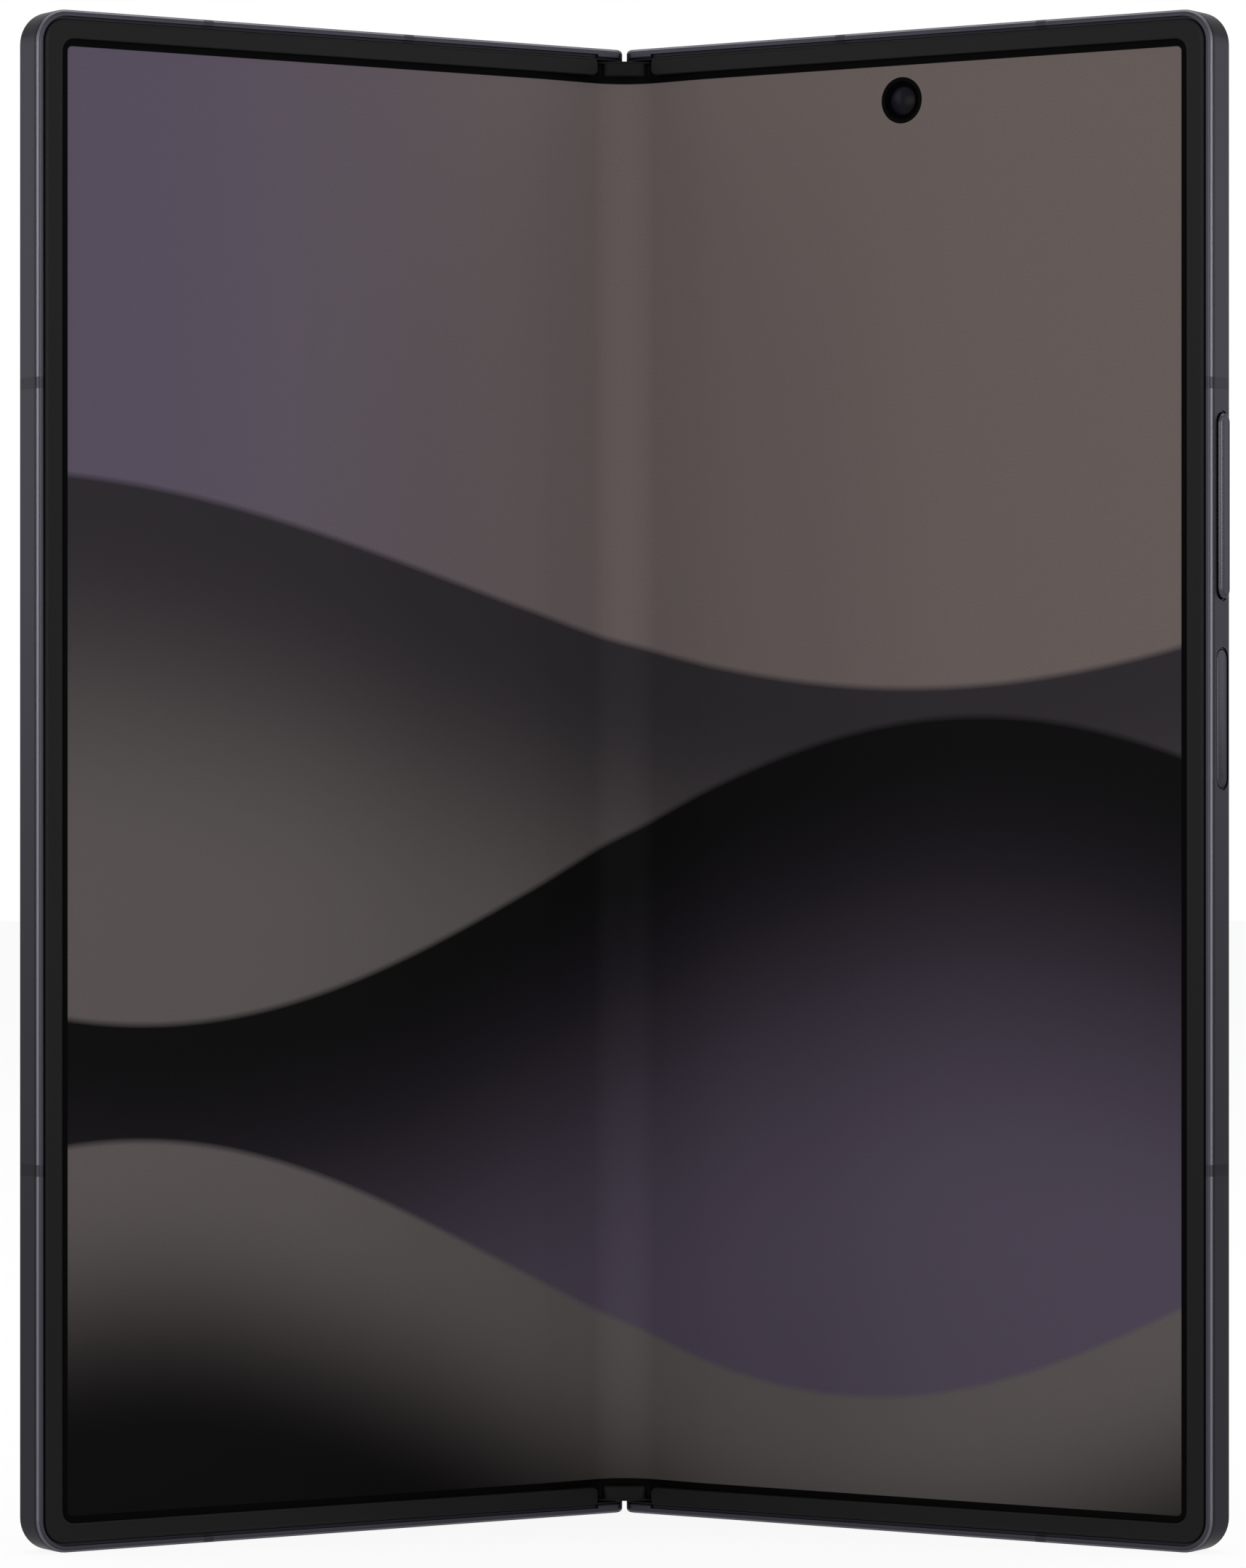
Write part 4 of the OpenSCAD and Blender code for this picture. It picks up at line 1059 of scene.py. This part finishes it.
class PHONE_OT_rear_cameras(Step, bpy.types.Operator):
    """Makes the lens rings, barrels, lenses and their clear covers on the island"""

    bl_idname = "phone.rear_cameras"
    bl_label = "Rear cameras"

    def make(self, tones, sizes):
        island = anodised_aluminium("Anodised island", [c * 0.85 for c in tones.body])
        paint("camera_island", island)
        rings, barrels, lenses, covers, modules, ribs = [], [], [], [], [], []
        top = ISLAND_V
        sunk, bore, crown = top - 0.1, LENS_R + 0.02, top + 0.68
        ring = [(bore, sunk), (RING_R, sunk), (RING_R, top + 0.4)]
        ring += [(RING_R - 0.08, top + 0.52), (RING_R - 0.3, top + 0.64), (RING_R - 0.5, crown)]
        ring += [(LENS_R + 0.5, crown), (LENS_R + 0.12, top + 0.6), (bore, top + 0.45), ring[0]]
        cover = [(0, sunk), (LENS_R - 0.02, sunk), (LENS_R - 0.02, top + 0.36)]
        cover += [(LENS_R - 0.08, top + 0.4), (0, top + 0.4)]
        black = moulded_plastic("Barrel black", colour("#08080a"), 0.02)
        stack = ring_stack_tree(black)
        # Half a module's width, then the radius of each lens's opening and its barrel's depth
        module = 6.5
        optics = ((2.3, 1.5), (2.9, 1.3), (2.0, 1.8))
        for z, (opening, depth) in zip(LENS_ZS, optics):
            centre = (LENS_U, z)
            rings.append(turned(ring, centre, 96))
            covers.append(turned(cover, centre, 96))
            floor = top - depth + 0.3
            barrel = [(0, 0.4), (6.0, 0.4), (6.0, top - 0.12), (5.0, top - 0.12), (4.7, top - 0.3)]
            barrel += [(opening + 0.9, floor + 0.2), (opening + 0.4, floor + 0.2)]
            barrel += [(opening + 0.1, floor), (0, floor)]
            barrels.append(turned(barrel, centre, 96))
            rim = floor + 0.05
            lens = [(0, floor + 0.55)]
            lens += [(opening * math.sin(a), rim + 0.5 * math.cos(a)) for a in arc(10, 90, 8)]
            lens += [(opening, floor - 0.05), (0, floor - 0.05)]
            lenses.append(turned(lens, centre, 64))
            box = (LENS_U - module, 0.4, z - module), (LENS_U + module, 2.3, z + module)
            modules.append(softened_box(*box, 0.3))
            values = {"Rings": sizes.barrel_ribs, "Outer radius": 4.6, "Wire": 0.05}
            values.update({"Inner radius": opening + 1.0, "Depth": -(depth - 0.75)})
            ribs.append((grown_mesh("ribs", stack, values), (LENS_U, top - 0.3, z)))
        grown_piece("lens_barrel_ribs", ribs, black, "right_half")
        metal = polished_aluminium("Tumbled ring metal", tones.body)
        # The second colour is the coating's painted reflection
        coated = coated_lens("Coated rear lens", colour("#08080d"), colour("#28345a"))
        clear = clear_glass("Clear lens cover")
        for name, shapes, material, slot, replaced in (
            ("lens_rings", rings, metal, "ring_metal", ["camera_rings"]),
            ("lens_barrels", barrels + modules, black, "camera_black", ["rear_camera_modules"]),
            ("rear_lenses", lenses, coated, "lens_glass", ()),
            ("lens_covers", covers, clear, "lens_glass", ["camera_lenses"]),
        ):
            piece_from(name, shapes, material, "right_half", replaced)


class PHONE_OT_flash(Step, bpy.types.Operator):
    """Makes the flash with its rings of prisms"""

    bl_idname = "phone.flash"
    bl_label = "Flash"

    def make(self, tones, sizes):
        clear = clear_plastic("Moulded flash plastic", colour("#cfcabb"))
        values = {"Rings": 6, "Outer radius": 1.5, "Inner radius": 0.25, "Depth": 0.0, "Wire": 0.06}
        prisms = grown_mesh("prisms", ring_stack_tree(clear), values)
        parts = [(prisms, (FLASH[0], BACK_V - 0.04, FLASH[1]))]
        grown_piece("flash_prisms", parts, clear, "right_half")
        paint("flash_lens", clear)


class PHONE_OT_glass(Step, bpy.types.Operator):
    """Finishes the cover screen's glass and the back glass"""

    bl_idname = "phone.glass"
    bl_label = "Cover and back glass"

    def make(self, tones, sizes):
        cover = cover_screen_glass("Cover screen glass", colour("#0b0b10"), colour("#020203"))
        paint("cover_glass", cover)
        paint("back_glass", etched_glass("Etched back glass", tones.back))
        radius, rim, rise = 1.5, BACK_V + 0.004, 0.03
        dome = [(radius * math.sin(a), rim + rise * math.cos(a)) for a in arc(15, 90, 5)]
        profile = [(0, BACK_V + 0.034)] + dome + [(radius, GLASS_V), (0, GLASS_V)]
        lens = turned(profile, COVER_CAMERA)
        # The second colour is the coating's painted reflection
        glass = coated_lens("Coated cover lens", colour("#0a0a10"), colour("#2a2a48"))
        piece_from("cover_camera_lens", [lens], glass, "left_half")


class PHONE_OT_ports(Step, bpy.types.Operator):
    """Makes the contacts in the charging socket and the mesh behind the speaker slots"""

    bl_idname = "phone.ports"
    bl_label = "Ports"

    def make(self, tones, sizes):
        gold = warm_metal("Gold contacts", colour("#c9a35e"))
        count, pitch = 12, 0.5
        values = {"Bars": count, "Pitch": (pitch, 0, 0), "Bar size": (0.25, 0.05, 4.2)}
        contacts = grown_mesh("contacts", bar_row_tree(gold), values)
        # Both faces of the socket's tongue
        start, half_tongue, middle_z = USB[0] - (count - 1) * pitch / 2, 0.37, 3.4
        parts = [(contacts, (start, USB[1] + sign * half_tongue, middle_z)) for sign in (-1, 1)]
        grown_piece("socket_contacts", parts, gold, "right_half")
        wire = brushed_steel("Woven steel mesh", colour("#55555a"))
        wires = bar_row_tree(wire)
        pitch, thin = 0.27, 0.06
        values = {"Bars": 9, "Pitch": (pitch, 0, 0), "Bar size": (thin, 1.0, thin)}
        upright = grown_mesh("wires", wires, values)
        values = {"Bars": 4, "Pitch": (0, pitch, 0), "Bar size": (2.3, thin, thin)}
        level = grown_mesh("wires", wires, values)
        recess = 1.15
        for half, z in (("right", recess), ("left", PHONE_H - recess)):
            parts = []
            for u in SPEAKER_US:
                parts += [(upright, (u - 4 * pitch, SLOT_V, z)), (level, (u, SLOT_V - 0.4, z))]
            grown_piece(f"{half}_speaker_mesh", parts, wire, f"{half}_half")


def background_rays(tree):
    """1 for rays from the camera, from gloss and through glass, which all see a plain white."""
    rays = add(tree, "ShaderNodeLightPath").outputs
    seen = maths(tree, "MAXIMUM", rays["Is Camera Ray"], rays["Is Glossy Ray"])
    return maths(tree, "MAXIMUM", seen, rays["Is Transmission Ray"])


class PHONE_OT_stage(Step, bpy.types.Operator):
    """Makes the floor, the lights and the camera"""

    bl_idname = "phone.stage"
    bl_label = "Stage"

    def make(self, tones, sizes):
        scene = bpy.context.scene
        scene.view_settings.view_transform = "Standard"
        self.floor()
        self.world(scene)
        self.lamps()
        # A long lens, level with the middle of the phone
        eye = bpy.data.cameras.new("eye")
        eye.lens = 146.6
        eye.sensor_width = 36
        eye.clip_start, eye.clip_end = 0.05, 20
        scene.camera = new_object("eye", eye)
        scene.camera.location = (-0.157 * MM, -674.3 * MM, 78.9 * MM)
        scene.camera.rotation_euler = (math.radians(90), 0, 0)

    @staticmethod
    def floor():
        """Pale floor that shows as white as the background but keeps a soft shadow."""
        reach = 3.0
        corners = ((-reach, -reach, 0), (reach, -reach, 0), (reach, reach, 0), (-reach, reach, 0))
        mesh = new_mesh("floor", corners, [[0, 1, 2, 3]])
        material, tree, shader = new_material(
            "White studio floor", Roughness=0.9, Specular_IOR_Level=0.0
        )
        speckle(tree, shader, [0.90] * 3, [0.93] * 3, 40.0, 0.0)
        share = maths(tree, "MULTIPLY", background_rays(tree), 0.9)
        white = add(tree, "ShaderNodeEmission", {"Color": (1, 1, 1, 1), "Strength": 1.0})
        sockets = {0: share, 1: shader.outputs[0], 2: white.outputs[0]}
        mix = add(tree, "ShaderNodeMixShader", sockets)
        tree.links.new(mix.outputs[0], tree.nodes["Material Output"].inputs["Surface"])
        mesh.materials.append(material)
        new_object("floor", mesh)

    @staticmethod
    def world(scene):
        """Even light all round, and plain white where the camera or a reflection sees it."""
        world = bpy.data.worlds.new("studio")
        world.use_nodes = True
        tree = world.node_tree
        tree.nodes.clear()
        way = add(tree, "ShaderNodeTexCoord").outputs["Generated"]
        rise = add(tree, "ShaderNodeSeparateXYZ", {0: way}).outputs["Z"]
        level = ranged(tree, rise, -0.2, 0.45, 0.28, 0.58, "SMOOTHSTEP")
        light, white = [
            add(tree, "ShaderNodeBackground", {"Color": (1, 1, 1, 1), "Strength": strength})
            for strength in (level, 1.0)
        ]
        sockets = {0: background_rays(tree), 1: light.outputs[0], 2: white.outputs[0]}
        mix = add(tree, "ShaderNodeMixShader", sockets)
        output = add(tree, "ShaderNodeOutputWorld")
        tree.links.new(mix.outputs[0], output.inputs["Surface"])
        scene.world = world

    @staticmethod
    def lamps():
        """Soft panels above and in front of the phone, strips beside it and lamps at its edges."""
        middle = Vector((0, 0, PHONE_H / 2 * MM))
        # Name, place in metres, width and height in metres, power in watts
        lamps = [("overhead panel", (0.0, 0.15, 1.05), (1.5, 0.5), 5.5)]
        for kind, (x, y, z), size, power in (
            ("softbox", (0.70, -1.05, 0.24), (0.6, 0.42), 3.2),
            ("fill strip", (1.26, -0.31, 0.4), (0.16, 0.7), 2.1),
            ("edge lamp", (0.65, 0.3, 0.20), (0.14, 0.26), 0.34),
        ):
            for side, word in ((-1, "left"), (1, "right")):
                lamps.append((f"{word} {kind}", (side * x, y, z), size, power))
        for name, spot, size, power in lamps:
            light = bpy.data.lights.new(name, "AREA")
            light.shape = "RECTANGLE"
            light.size, light.size_y = size
            light.energy = power
            lamp = new_object(name, light)
            lamp.location = spot
            lamp.rotation_euler = (middle - Vector(spot)).to_track_quat("-Z", "Y").to_euler()


STEPS = (
    PHONE_OT_stage,
    PHONE_OT_metalwork,
    PHONE_OT_internals,
    PHONE_OT_inner_screen,
    PHONE_OT_trims,
    PHONE_OT_hinge_guards,
    PHONE_OT_keys,
    PHONE_OT_inner_camera,
    PHONE_OT_rear_cameras,
    PHONE_OT_flash,
    PHONE_OT_glass,
    PHONE_OT_ports,
)


class PHONE_PT_finish(bpy.types.Panel):
    """Lists the pieces and their settings"""

    bl_idname = "PHONE_PT_finish"
    bl_label = "Folding phone"
    bl_space_type = "VIEW_3D"
    bl_region_type = "UI"
    bl_category = "Folding phone"

    def draw(self, context):
        for settings in (context.scene.phone_sizes, context.scene.phone_colours):
            box = self.layout.box()
            for name in settings.__annotations__:
                box.prop(settings, name)
        for step in STEPS:
            self.layout.operator(step.bl_idname)


CLASSES = (PhoneSizes, PhoneColours, *STEPS, PHONE_PT_finish)


def register():
    for item in CLASSES:
        bpy.utils.register_class(item)
    bpy.types.Scene.phone_sizes = PointerProperty(type=PhoneSizes)
    bpy.types.Scene.phone_colours = PointerProperty(type=PhoneColours)


def unregister():
    del bpy.types.Scene.phone_sizes
    del bpy.types.Scene.phone_colours
    for item in reversed(CLASSES):
        bpy.utils.unregister_class(item)


def main():
    register()
    for step in STEPS:
        group, name = step.bl_idname.split(".")
        getattr(getattr(bpy.ops, group), name)()


if __name__ == "__main__":
    main()
